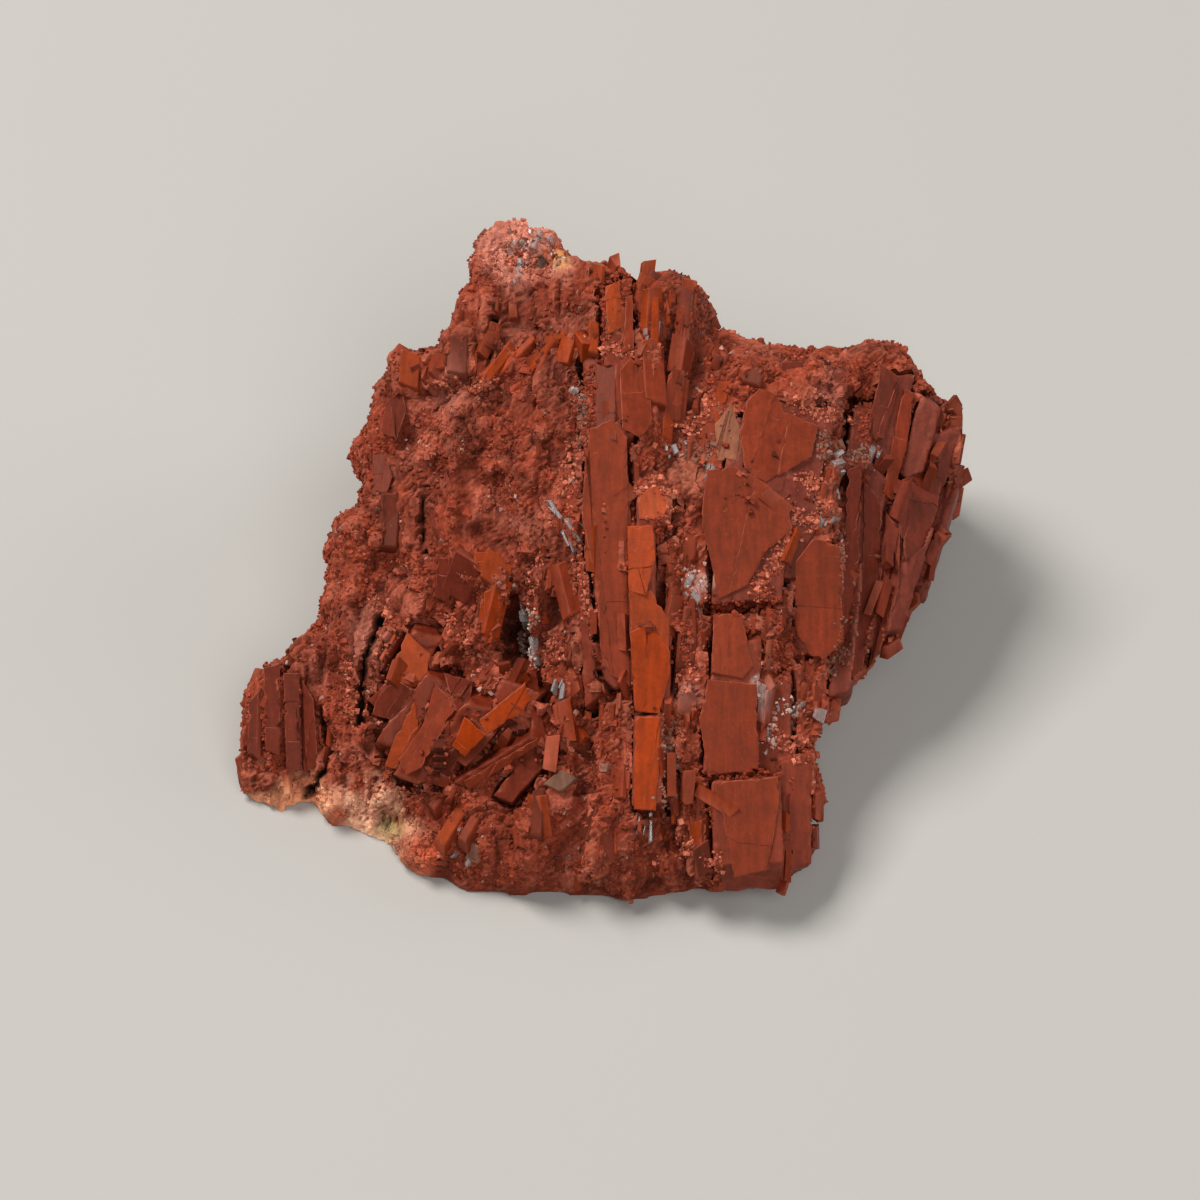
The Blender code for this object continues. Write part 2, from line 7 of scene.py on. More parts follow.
import bpy
import numpy as np
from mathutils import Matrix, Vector


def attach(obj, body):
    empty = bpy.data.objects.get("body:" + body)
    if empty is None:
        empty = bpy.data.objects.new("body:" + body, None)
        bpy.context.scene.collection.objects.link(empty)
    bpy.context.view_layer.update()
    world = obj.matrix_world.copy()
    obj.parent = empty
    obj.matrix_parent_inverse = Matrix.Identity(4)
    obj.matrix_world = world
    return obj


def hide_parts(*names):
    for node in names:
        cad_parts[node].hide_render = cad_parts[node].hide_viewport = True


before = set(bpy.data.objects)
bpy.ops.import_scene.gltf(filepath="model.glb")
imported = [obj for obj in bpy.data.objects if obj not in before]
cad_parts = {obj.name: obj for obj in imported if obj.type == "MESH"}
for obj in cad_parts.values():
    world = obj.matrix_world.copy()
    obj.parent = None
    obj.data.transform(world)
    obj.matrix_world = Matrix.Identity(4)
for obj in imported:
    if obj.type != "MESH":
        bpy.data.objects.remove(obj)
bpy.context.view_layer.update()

MM = 0.001
SEED = 7

# The face frame: x across, h up the face, w out of it, as seen by the camera.
RISE = math.radians(51)
FACE_ORIGIN = np.array((0.0, -1.5, 6.3))
FACE_AXES = np.array((
    (1.0, 0.0, 0.0),
    (0.0, math.sin(RISE), math.cos(RISE)),
    (0.0, -math.cos(RISE), math.sin(RISE)),
))
CAMERA_DISTANCE = 200.0
CAMERA_LENS = 145.5
SENSOR_WIDTH = 36.0
CLIP_START = 0.01  # metres

SKIN_VOXEL = 0.176
CRYSTAL_VOXEL = 0.085
SEAM_FILL = 0.26  # how far the rock grows in to close the seam round a crystal
SEAM_SINK = 0.2  # how far below a crystal's top that filling stays
PLATE_DEPTH = 1.0  # how deep a crystal face's block reaches
PLATE_COVER = 0.05  # how far below a crystal face what it covers is kept
NICK_STEP = 0.2  # between the points along a crystal face's sides
FLUSH = 0.3  # how far below the crystals' faces the rock between them lies
ROOT = 0.6  # how deep the small crystals are sunk in the rock
BEVEL = 0.04
PLATE_SLOPE = 0.5  # the steepest that a crystal face's plane may lie to the face
PLATE_FACING = 0.25  # how far a surface has to face outwards to carry a crystal face
PLATE_SPOTS = 12  # a crystal face's plane is fitted on at least so many points of that surface
NEAREST_SPOTS = 40  # points near it that stand in where its outline holds too few
SPOT_RANGE = 1.2  # how far below the higher of these points the others may lie
STEPS_ALONG = 0.7  # the share of a crystal face's steps that run along the blades
STEP_TURN = 5  # degrees that their direction varies by
STEP_PLACES = (0.3, 0.75)  # the share of the face that a step leaves free
NICK_DEPTH = 0.02
DEEP_NICK = 0.09  # added at some points of an outline
DEEP_NICKS = 0.1  # the share of those points
FACE_STEP = 0.022  # between the levels of a crystal face
FACE_GLOSS = 0.85
CELL = 0.15  # of the map that finds the highest surface at a place
MAP_SPAN = 240  # cells across that map
SPREAD_ROUNDS = 40
FACING = 0.3  # how far a surface has to face outwards to lie under a crystal
FLAT_RISE = 0.6  # above the flat underside the rock's relief grows to its full height over this
SEAT_TRIES = 8  # places drawn for each one wanted
LOWEST_SEAT = 0.35  # above the floor
SEAT_LEAN = 4  # degrees that the lean of what grows there varies by
SEAT_REACH = 0.4  # how far round a given place the highest points are looked for
SEAT_POINTS = 12  # how many of them give its height
CRACK_DARK = 0.3  # from this darkness on a place counts as in a crack
NOTHING = -99.0  # the map's height where there is nothing
BAND_CRUMBS = 105  # to a square millimetre
BAND_SPREAD = 0.6  # how far they scatter beside the band, in half widths
BAND_SIZES = (0.04, 0.12)
BAND_SINK = 0.35  # how much of its size a band's crumb is sunk
LOWEST_BAND = -4  # out of the face
CRUMB_PATCHES = -0.35  # crumbs lie where a noise from -1 to 1 is above this
ON_PLATES = 0.12  # the share of a band's crumbs that is kept on crystal faces
CRUMB_SINK = 0.3  # how much of its size a crumb is sunk in the rock

CRYSTAL_NODES = {
    "blade_group_centre": "gypsum_centre",
    "blade_group_right": "gypsum_right",
    "block_group_lower_right": "gypsum_lower_right",
    "crystal_group_lower_left": "gypsum_lower_left",
}
CRYSTAL_COLOURS = {
    "gypsum_centre": (0.16, 0.024, 0.011),
    "gypsum_right": (0.13, 0.022, 0.013),
    "gypsum_lower_right": (0.16, 0.023, 0.01),
    "gypsum_lower_left": (0.14, 0.017, 0.006),
}

# How the blades run at places on the face: x, h, lean to the right in degrees, how bladed it is.
GRAIN_PLACES = (
    (-3.5, 15.0, 0, 0.0), (-5.5, 11.0, 4, 0.7), (-8.5, 9.0, -4, 0.6), (-8.5, 5.0, 0, 0.3),
    (-6.0, 7.0, 8, 0.2), (-5.0, 3.0, 10, 0.3), (-8.5, 1.0, 10, 0.2), (-2.5, 8.5, 6, 0.5),
    (-2.5, 4.5, 0, 0.4), (0.5, 12.0, 0, 0.8), (1.0, 7.0, 0, 0.9), (3.0, 11.5, 6, 0.9),
    (3.5, 8.0, 8, 0.7), (0.5, 2.0, -2, 1.0), (2.5, -2.0, 0, 0.9), (4.5, 3.0, 6, 0.6),
    (0.0, -4.0, -4, 0.8), (2.5, -7.0, 0, 0.8), (5.5, -4.0, 4, 0.8), (6.0, 8.5, 12, 0.6),
    (7.5, 5.0, 12, 1.0), (9.0, 9.0, 16, 0.3), (8.5, 0.0, 12, 0.9), (11.0, 5.0, 16, 1.0),
    (13.5, 5.5, 18, 1.0), (12.0, 0.5, 20, 1.0), (9.8, -3.0, 18, 0.8), (12.5, 9.5, 16, 0.6),
    (-7.5, -3.0, 42, 0.9), (-5.5, -5.5, 40, 1.0), (-3.0, -4.0, 30, 0.8), (-3.5, -7.0, 30, 0.6),
    (-10.5, -3.5, 12, 0.2), (-13.0, -5.0, 2, 0.9), (-13.5, -7.5, 2, 0.7), (-11.0, -8.5, 0, 0.0),
    (-8.0, -9.5, 20, 0.2), (-3.0, -10.0, 8, 0.4), (1.0, -10.5, 0, 0.5), (6.0, -9.5, 0, 0.9),
    (8.0, -8.0, 4, 0.6), (-1.0, -7.5, -2, 0.5), (-5.0, -0.5, 10, 0.4),
)

# Colours, linear.
GRANULAR = (0.27, 0.045, 0.021)
BLADE = (0.185, 0.024, 0.0075)
DARK = (0.09, 0.011, 0.004)
PLUM = (0.125, 0.017, 0.008)
MAROON = (0.1, 0.017, 0.009)
SALMON = (0.45, 0.12, 0.072)
PINK = (0.56, 0.155, 0.09)
WHITE = (0.55, 0.38, 0.32)
GREY = (0.26, 0.125, 0.09)
ORANGE = (0.27, 0.028, 0.001)
FIBROUS = (0.25, 0.032, 0.005)
CLOUDED = (0.24, 0.08, 0.04)
# Painted shade: the colour laid in creases, hollows, slots and recesses.
RECESS_SHADE = (0.045, 0.008, 0.005)
BLACK = (0.008, 0.004, 0.003)
AMBER = (0.36, 0.06, 0.02)
# Painted shade: the grey darkened for a facet that lies in shadow.
SHADED_GREY = (0.15, 0.07, 0.045)
ROSE = (0.72, 0.27, 0.19)  # of the knob
PEACH = (0.88, 0.36, 0.19)  # of the pale base
CREAM = (0.88, 0.46, 0.29)
BRICK = (0.5, 0.09, 0.04)
GREEN = (0.36, 0.31, 0.12)
YELLOW = (0.62, 0.3, 0.09)
CLEAR = (0.9, 0.84, 0.82)
MILKY = (0.75, 0.6, 0.56)

# The stones' materials.
GYPSUM_IOR = 1.52
BUMP_DEPTH = 0.00006  # metres
GROOVING = 12  # how many times more the streaks change the bump than the colour
STREAK_LENGTH = 10.0  # times their width
MOTTLING = 0.08
UNEVEN_GLOSS = 0.25
# Pale specks of dust, and painted glints: from no speck to a pale one, by the fine noise.
DUST_AND_GLINT_SPECKS = ((0.66, 0.0), (0.74, 0.45))  # from no speck to a pale one, by the fine noise
STONE_LIGHT = {
    "Specular IOR Level": 0.28,
    "Specular Tint": (1.0, 0.55, 0.42, 1.0),  # the real crystals shine red, not white
    "Subsurface Weight": 0.1,
    "Subsurface Radius": (1.0, 0.35, 0.2),
    "Subsurface Scale": 0.0004,  # metres
}

# The studio, in metres. Lights: name, place, size, power, colour.
FLOOR_HALF = 2.0
FLOOR_DROP = 0.00002
FLOOR_COLOUR = (0.42, 0.405, 0.38, 1.0)
WHITE_LIGHT = (1.0, 1.0, 1.0)
WORLD_POWER = 0.11
LIGHTS = (
    ("key", (-0.22, 0.12, 0.42), 0.2, 2.7, (1.0, 0.98, 0.95)),
    ("front", (0.1, -0.3, 0.36), 0.3, 1.1, WHITE_LIGHT),
    ("right", (0.4, 0.1, 0.2), 0.25, 0.55, WHITE_LIGHT),
)

# Steps like broken blades in the rock: width, length, seed, height, and the middle that they rise from.
ROCK_STEPS = ((1.15, 4.6, 1, 0.45, 0.55), (0.5, 2.3, 2, 0.28, 0.5), (0.26, 1.3, 3, 0.13, 0.5))

# Cracks: half width, depth, and the places x, h along each.
CRACKS = (
    (0.13, 0.9, ((-9.1, -0.8), (-9.4, -1.7), (-9.7, -2.6), (-9.8, -3.8), (-9.9, -5.0))),
    (0.11, 0.7, ((-11.6, -4.6), (-11.35, -5.6), (-11.2, -6.3), (-11.35, -7.0), (-12.2, -8.2))),
    (0.06, 0.4, ((-0.1, -3.0), (0.5, -3.7), (1.2, -4.1), (2.4, -4.6))),
    (0.15, 0.9, ((-4.4, 11.6), (-4.6, 10.4), (-4.8, 9.4))),
    (0.06, 0.4, ((-0.85, 3.0), (-0.4, 0.8), (-0.2, -1.6))),
    (0.05, 0.4, ((-7.2, 4.6), (-7.4, 3.2), (-7.2, 2.0))),
)

# Crystal faces of each slot: lift, colour, and the corners x, h round each.
PLATES = {
    "gypsum_centre": (
        (0.05, BLADE, ((-0.4, 7.0), (0.5, 7.4), (1.1, 6.6), (1.15, 3.3), (1.15, -1.2), (1.25, -3.55),
            (0.4, -3.05), (0.0, -1.9), (-0.15, 0.75), (-0.75, 3.3), (-0.65, 5.35))),
        (0.1, BLADE, ((0.8, 9.4), (1.25, 10.0), (2.05, 8.85), (2.15, 7.2), (1.65, 6.6), (0.9, 7.0))),
        (0.0, PLUM, ((-0.2, 9.6), (0.6, 9.6), (0.65, 6.5), (-0.2, 6.6))),
        (0.12, FIBROUS, ((0.2, 12.9), (0.85, 13.2), (0.95, 11.2), (0.3, 10.9))),
        (0.04, BLADE, ((0.8, 12.3), (1.35, 12.6), (1.4, 10.3), (0.9, 10.1))),
        (0.08, ORANGE, ((1.1, 3.0), (2.15, 3.05), (2.25, 1.65), (1.85, 0.2), (1.15, 0.3))),
        (0.0, FIBROUS, ((1.15, 0.3), (2.05, 0.4), (2.8, -0.8), (2.8, -2.05), (1.85, -1.65),
            (1.25, -1.25))),
        (0.12, ORANGE, ((1.2, -1.3), (1.95, -0.9), (2.8, -2.0), (2.85, -2.95), (2.4, -4.6),
            (1.4, -4.5))),
        (0.05, ORANGE, ((1.4, -4.7), (2.45, -4.7), (2.4, -6.65), (2.25, -8.5), (1.35, -8.45))),
        (0.03, AMBER, ((1.5, 4.4), (2.4, 4.7), (2.9, 4.0), (2.5, 3.2), (1.6, 3.3))),
    ),
    "gypsum_right": (
        (0.0, CLOUDED, ((4.7, 7.2), (5.4, 8.1), (5.8, 7.0), (5.6, 5.7), (4.8, 5.7))),
        (0.1, BLADE, ((6.0, 8.15), (6.55, 8.7), (7.2, 8.5), (7.6, 7.75), (8.95, 7.15), (8.65, 5.85),
            (7.8, 5.35), (6.75, 4.8), (5.9, 5.35), (5.7, 6.9))),
        (0.08, BLADE, ((4.35, 5.3), (5.55, 5.5), (6.75, 4.8), (7.65, 3.9), (7.85, 2.9), (6.8, 2.0),
            (6.0, 0.6), (4.8, 0.0), (4.45, 1.8), (4.1, 3.3))),
        (0.1, BLADE, ((7.95, 1.55), (8.75, 2.6), (9.8, 2.15), (9.95, -1.7), (9.1, -2.5), (8.55, -2.25),
            (7.95, -1.3))),
        (0.08, PLUM, ((11.55, 9.9), (12.4, 9.3), (12.25, 8.25), (11.75, 6.7), (11.2, 6.6), (11.1, 7.4),
            (11.55, 9.1))),
        (0.08, BLADE, ((12.6, 8.8), (13.1, 8.6), (12.7, 6.2), (12.1, 4.1), (11.7, 4.45), (12.1, 6.6))),
        (0.05, PLUM, ((12.4, 4.95), (13.4, 5.3), (14.2, 5.0), (14.0, 3.7), (13.4, 2.25), (12.6, 1.65),
            (12.3, 3.3))),
        (0.05, PLUM, ((10.15, 5.35), (10.8, 5.6), (10.65, 1.65), (10.15, -2.05), (9.8, -1.65),
            (10.0, 1.65))),
        (0.0, PLUM, ((10.9, 4.95), (11.6, 4.1), (11.55, 0.8), (10.8, -2.9), (10.3, -3.3),
            (10.8, 0.8))),
        (0.08, PLUM, ((11.8, 3.7), (12.4, 2.9), (12.3, 0.4), (11.55, -2.05), (11.05, -2.8),
            (11.6, 0.4))),
    ),
    "gypsum_lower_right": (
        (0.1, BLADE, ((4.6, -0.55), (5.75, -0.55), (6.2, -2.7), (5.75, -3.2), (4.5, -2.95))),
        (0.03, BLADE, ((4.35, -3.2), (5.5, -3.3), (6.35, -3.4), (6.45, -6.9), (4.35, -7.1),
            (4.0, -4.8))),
        (0.1, BLADE, ((4.6, -7.35), (7.15, -7.1), (7.25, -7.8), (7.0, -9.65), (6.7, -10.9),
            (5.4, -11.2), (5.1, -9.6))),
    ),
    "gypsum_lower_left": (
        (0.1, DARK, ((-9.15, -3.95), (-8.4, -3.2), (-7.6, -3.65), (-7.9, -4.3), (-8.55, -4.9),
            (-9.35, -4.7))),
        (0.1, FIBROUS, ((-8.4, -2.4), (-7.9, -1.3), (-6.95, -2.2), (-7.05, -3.0), (-7.6, -3.65),
            (-8.4, -3.2))),
        (0.12, BLADE, ((-6.7, -3.4), (-5.8, -4.3), (-7.25, -6.8), (-7.9, -7.15), (-8.2, -6.5),
            (-7.25, -5.1))),
        (0.05, FIBROUS, ((-7.6, -4.1), (-7.25, -5.05), (-8.3, -6.9), (-8.8, -6.8), (-8.4, -5.65))),
        (0.22, ORANGE, ((-5.5, -4.7), (-4.6, -5.45), (-5.5, -6.4), (-6.0, -5.95))),
        (0.15, ORANGE, ((-4.95, -4.9), (-3.05, -3.35), (-2.8, -4.1), (-3.05, -4.5), (-4.55, -5.45))),
        (0.1, PLUM, ((-6.4, -2.95), (-5.15, -3.3), (-5.3, -4.1), (-5.85, -4.55))),
        (0.05, DARK, ((-7.05, -6.8), (-5.9, -5.95), (-5.15, -5.45), (-6.2, -7.2))),
        (0.12, BLADE, ((-5.55, -7.35), (-2.5, -5.55), (-2.45, -5.85), (-5.35, -7.75))),
    ),
    "rock": (
        (0.12, ORANGE, ((-4.75, 0.35), (-4.0, 0.6), (-3.9, 0.1), (-4.55, -1.75), (-4.8, -1.65))),
        (0.12, FIBROUS, ((-5.35, 2.0), (-4.1, 1.95), (-3.9, 1.2), (-4.55, 0.85), (-5.15, 1.3))),
        (0.08, PLUM, ((-6.65, 1.75), (-5.55, 1.8), (-5.55, 1.4), (-6.3, -0.1), (-6.85, 0.1))),
        (0.25, PLUM, ((-13.05, -3.0), (-12.4, -3.0), (-12.3, -7.0), (-12.95, -7.2))),
        (0.15, PLUM, ((-12.35, -3.2), (-11.8, -4.1), (-11.6, -6.9), (-12.2, -7.1))),
        (0.2, PLUM, ((-13.9, -2.8), (-13.2, -2.6), (-13.2, -6.4), (-13.8, -6.2))),
        (0.1, PLUM, ((-14.5, -4.2), (-14.0, -3.6), (-14.0, -6.6), (-14.6, -6.4))),
        (0.1, PLUM, ((-8.95, 8.25), (-8.25, 8.85), (-8.05, 7.85), (-8.45, 6.6), (-9.15, 7.0))),
        (0.03, PLUM, ((-9.5, 6.0), (-9.05, 6.2), (-8.6, 5.15), (-8.85, 4.35), (-9.4, 4.55))),
        (0.1, DARK, ((-9.05, 4.35), (-8.35, 4.55), (-8.3, 2.45), (-9.0, 2.25))),
        (0.05, BLADE, ((2.3, 7.2), (2.9, 9.6), (3.5, 9.4), (3.3, 7.4))),
    ),
}

# Crumbly bands between the crystals: half width, colour, and the places x, h along each.
BANDS = (
    (0.45, PINK, ((7.8, 8.2), (9.0, 7.9), (10.4, 7.6))),
    (0.35, GREY, ((5.2, 7.9), (5.0, 6.6), (4.0, 5.9), (3.2, 6.2))),
    (0.35, PINK, ((3.0, 7.4), (3.9, 7.0), (4.6, 8.6))),
    (0.4, GREY, ((9.2, 6.8), (9.4, 5.6), (10.6, 5.9), (11.2, 6.0))),
    (0.4, PINK, ((8.2, 5.0), (9.0, 4.6), (9.3, 3.4), (8.4, 3.0))),
    (0.35, PINK, ((8.0, 3.6), (7.5, 2.2), (7.0, 1.2), (6.3, 0.2))),
    (0.5, GRANULAR, ((6.6, 0.6), (7.3, -0.8), (7.6, -2.2), (7.2, -3.2))),
    (0.4, WHITE, ((6.7, -3.2), (6.8, -4.4), (6.8, -5.8))),
    (0.35, WHITE, ((7.6, -4.2), (8.0, -4.6))),
    (0.4, PINK, ((7.2, -5.6), (7.8, -5.8), (8.2, -6.3))),
    (0.35, WHITE, ((3.5, 1.4), (3.9, 0.6), (4.0, -0.1))),
    (0.4, PINK, ((3.1, 2.6), (3.3, 1.8), (3.4, 1.2))),
    (0.35, GRANULAR, ((3.2, -0.6), (3.6, -1.6), (3.4, -2.8))),
    (0.3, PINK, ((3.9, -2.8), (3.5, -3.4), (3.4, -4.6), (3.2, -5.6))),
    (0.35, GREY, ((2.75, -4.6), (2.8, -6.2), (2.75, -8.2))),
    (0.4, GRANULAR, ((3.6, -6.2), (3.7, -7.8), (4.2, -9.0))),
    (0.4, PINK, ((3.2, -9.4), (3.8, -10.2), (4.8, -10.8))),
    (0.3, PINK, ((1.6, 4.6), (2.4, 4.8), (2.9, 4.0), (2.6, 3.3))),
    (0.3, PINK, ((-1.0, 3.6), (-0.7, 1.2), (-0.4, -0.8))),
    (0.35, GREY, ((-0.9, 8.6), (-0.6, 7.6), (-1.0, 6.4))),
    (0.3, PINK, ((-0.9, 6.6), (-1.4, 5.2), (-1.3, 4.2))),
    (0.35, PINK, ((-6.4, -0.6), (-5.4, -1.8), (-5.0, -3.0))),
    (0.35, PINK, ((-9.2, 0.2), (-8.8, -0.8), (-9.0, -2.2))),
    (0.35, PINK, ((-10.6, -2.6), (-10.2, -3.8), (-9.9, -5.0))),
    (0.3, PINK, ((-2.6, 1.6), (-2.9, 0.8), (-2.7, 0.3))),
    (0.4, PINK, ((-2.2, -1.6), (-1.6, -2.4), (-1.2, -3.0))),
    (0.3, PINK, ((-7.2, 9.2), (-6.2, 8.9), (-5.2, 8.8), (-4.6, 9.0))),
    (0.4, PINK, ((-4.2, 14.0), (-3.4, 14.4), (-2.6, 13.6), (-1.8, 14.6))),
    (0.35, WHITE, ((-3.8, 14.6), (-3.2, 15.1), (-2.8, 14.7))),
    (0.14, WHITE, ((-2.1, 14.6), (-1.6, 14.2), (-1.9, 13.7))),
    (0.14, GRANULAR, ((-13.85, -3.8), (-13.9, -6.6))),
    (0.14, GRANULAR, ((-13.05, -3.2), (-13.1, -6.9))),
    (0.14, GRANULAR, ((-12.3, -3.4), (-12.2, -6.6))),
    (0.16, GRANULAR, ((0.0, 13.2), (0.1, 11.6), (0.05, 9.8))),
    (0.16, GRANULAR, ((1.1, 13.4), (1.2, 11.8), (1.15, 10.2))),
    (0.14, GRANULAR, ((2.4, 5.2), (2.35, 3.6), (2.5, 2.4))),
    (0.3, WHITE, ((-2.9, -0.4), (-3.1, -1.6), (-2.9, -2.8))),
    (0.3, GREY, ((9.9, 2.6), (10.1, 0.2), (9.9, -2.4), (9.0, -3.2))),
    (0.45, GRANULAR, ((0.4, 13.5), (0.9, 12.8), (0.5, 11.8))),
    (0.3, PINK, ((0.0, 10.4), (0.8, 10.3), (1.6, 10.1))),
    (0.3, GRANULAR, ((-0.4, 9.4), (-0.3, 7.8), (-0.6, 6.8))),
    (0.3, GRANULAR, ((11.0, 9.8), (11.0, 8.2), (10.9, 6.6))),
    (0.3, BLADE, ((4.3, -0.3), (5.0, -0.35), (5.9, -0.4))),
    (0.25, BLADE, ((4.4, -7.2), (5.6, -7.15), (7.0, -7.0))),
)

# Single crystals in the rock: x, h, length, width, lean in degrees, lift, colour.
FACETS = (
    (-5.8, 10.4, 1.8, 0.8, 2, 0.14, DARK), (-6.85, 9.9, 0.7, 0.95, 0, 0.2, BLADE),
    (-8.0, 9.45, 1.4, 0.8, 4, 0.14, FIBROUS), (-8.8, 3.4, 2.3, 0.85, 2, 0.15, DARK),
    (-8.7, 8.0, 1.2, 0.9, -20, 0.08, PLUM), (-9.0, 5.2, 1.6, 1.1, -10, 0.06, PLUM),
    (-4.0, 10.0, 2.0, 0.4, 40, 0.1, FIBROUS), (-3.4, 10.3, 2.2, 0.3, 42, 0.1, ORANGE),
    (-3.0, 9.7, 2.0, 0.35, 44, 0.08, FIBROUS), (-2.5, 10.3, 1.6, 0.3, 40, 0.1, ORANGE),
    (-1.3, 10.3, 1.0, 0.45, 20, 0.12, ORANGE), (-0.7, 10.0, 1.1, 0.4, -14, 0.1, ORANGE),
    (-1.8, 11.0, 0.9, 0.5, 70, 0.1, FIBROUS), (-0.2, 10.9, 1.4, 0.4, 4, 0.12, FIBROUS),
    (1.2, 12.0, 2.3, 0.45, 0, 0.12, BLADE), (1.7, 11.6, 2.7, 0.4, 2, 0.18, FIBROUS),
    (2.05, 11.4, 2.4, 0.3, 2, 0.25, ORANGE), (2.4, 9.3, 2.6, 0.9, 2, 0.1, BLADE),
    (3.3, 12.2, 1.6, 0.5, 6, 0.15, PLUM), (3.9, 9.9, 1.4, 0.8, 10, 0.1, BLADE),
    (3.2, 10.0, 1.8, 0.45, 6, 0.14, DARK), (6.3, 9.5, 1.2, 0.8, 14, 0.04, DARK),
    (4.9, 8.6, 1.0, 0.5, 16, 0.12, FIBROUS), (3.4, 8.0, 1.8, 0.5, 6, 0.14, BLADE),
    (0.85, 9.75, 0.75, 0.5, 180, 0.3, GREY), (3.0, 7.2, 1.2, 0.5, 10, 0.12, ORANGE),
    (-4.3, 1.3, 1.3, 1.2, 16, 0.12, FIBROUS), (-4.2, -0.4, 2.4, 0.75, 12, 0.12, ORANGE),
    (-5.9, 0.8, 1.9, 1.2, 24, 0.1, PLUM),
    (-1.4, 0.6, 2.2, 0.8, -10, 0.08, BLADE),
    (-5.8, -8.8, 2.2, 0.5, 28, 0.15, FIBROUS), (-5.2, -8.9, 2.3, 0.4, 20, 0.15, BLADE),
    (-6.3, -9.6, 1.5, 0.4, 36, 0.12, ORANGE), (-2.6, -8.6, 1.9, 0.45, 4, 0.2, DARK),
    (-2.1, -8.8, 1.7, 0.4, -6, 0.22, FIBROUS), (-1.5, -7.4, 0.9, 0.7, 50, 0.2, SHADED_GREY),
    (-3.6, -9.3, 1.4, 0.5, -16, 0.15, BLADE), (-0.6, -8.9, 1.4, 0.5, 10, 0.12, DARK),
    (-5.3, -10.4, 0.8, 0.6, 24, 0.18, GREY), (0.4, -9.6, 1.8, 0.6, -4, 0.1, PLUM),
    (3.7, -9.5, 1.3, 0.5, 8, 0.12, FIBROUS), (4.2, -10.4, 1.2, 0.7, -10, 0.12, DARK),
    (7.7, -6.75, 0.8, 0.9, 40, 0.15, DARK), (8.0, -10.0, 1.5, 0.9, 20, 0.15, BLADE),
    (7.9, -8.3, 1.0, 0.8, -20, 0.12, PLUM), (7.2, -7.05, 0.3, 1.1, 84, 0.08, FIBROUS),
    (10.1, 6.4, 0.7, 0.5, 70, 0.12, GREY),
    (13.9, 4.6, 2.2, 1.5, 24, 0.12, PLUM), (-2.5, 14.15, 0.4, 0.35, 20, 0.25, BLACK),
    (7.9, 9.7, 1.0, 0.6, 80, 0.08, PLUM),
    (2.5, 4.1, 1.0, 0.9, 10, 0.2, FIBROUS), (3.6, 2.2, 1.2, 0.6, 4, 0.12, BLADE),
    (3.6, -1.9, 1.4, 0.7, 8, 0.05, DARK), (4.4, 6.9, 1.2, 0.7, 12, 0.1, BLADE),
)

PATCH_RAGGED = 0.45  # how much noise breaks up the edges of the patches
PATCH_LOWEST = -6.5  # out of the face, where they end
PATCH_FADE = 1.5  # over which they grow to full strength above that
# Patches of other colour: x, h, radius, colour, strength. Those in the recess colour are painted shade in
# hollows and slots.
PATCHES = (
    (-3.1, 14.4, 1.9, ROSE, 0.85),
    (-3.5, -1.2, 0.6, RECESS_SHADE, 0.95),
    (-3.3, -2.2, 0.4, RECESS_SHADE, 0.8),
    (-4.5, 10.5, 0.4, RECESS_SHADE, 0.9),
    (-1.6, 5.8, 0.7, RECESS_SHADE, 0.5),
    (9.6, 4.5, 0.5, RECESS_SHADE, 0.6),
    (-7.4, 2.8, 1.3, (0.15, 0.027, 0.014), 0.6),
    (-6.0, 5.2, 1.6, (0.19, 0.032, 0.016), 0.5),
    (-2.6, 12.2, 1.6, (0.2, 0.036, 0.018), 0.5),
    (-3.6, -10.4, 2.2, (0.2, 0.032, 0.014), 0.5),
    (-13.6, -8.2, 0.9, RECESS_SHADE, 0.7),
    (-12.5, -9.6, 2.5, PEACH, 1.0),
    (-9.9, -9.9, 2.5, CREAM, 1.0),
    (-10.8, -9.0, 0.6, BRICK, 0.8),
    (-7.4, -10.4, 0.9, BRICK, 0.8),
    (-8.6, -9.3, 0.8, GREEN, 0.7),
    (-1.75, 14.3, 0.5, YELLOW, 0.9),
    (-2.5, 14.15, 0.6, BLACK, 1.0),
    (12.8, 3.5, 4.0, (0.125, 0.023, 0.015), 0.6),
    (10.3, 7.3, 0.6, RECESS_SHADE, 0.5),
    (2.2, 4.0, 0.9, (0.6, 0.18, 0.1), 0.6),
    (3.5, 5.2, 1.0, (0.45, 0.15, 0.09), 0.4),
    (3.9, 0.6, 0.8, (0.66, 0.38, 0.32), 0.7),
    (3.5, -3.8, 0.8, (0.62, 0.26, 0.2), 0.6),
    (6.6, -3.4, 0.5, (0.55, 0.42, 0.38), 0.8),
    (-9.4, -1.6, 1.3, (0.56, 0.19, 0.13), 0.5),
    (-6.3, 8.6, 1.2, (0.52, 0.17, 0.12), 0.4),
    (9.2, 8.4, 1.4, (0.5, 0.17, 0.12), 0.4),
)

# Small blades: the piece's name, how many are tried for, widths, lengths beyond the width, seed.
SMALL_BLADES = (
    ("small_blades", 180, (0.2, 0.4), (0.4, 1.4), SEED),
    ("thin_blades", 1100, (0.08, 0.22), (0.5, 1.8), SEED + 1),
)

# Crumbs: the piece's name, how many are tried for, sizes, seed.
CRUMBS = (
    ("coarse_crumbs", 900, (0.12, 0.24), SEED + 2),
    ("fine_crumbs", 11000, (0.05, 0.13), SEED + 5),
    ("fine_crumbs_more", 11000, (0.04, 0.1), SEED + 6),
)

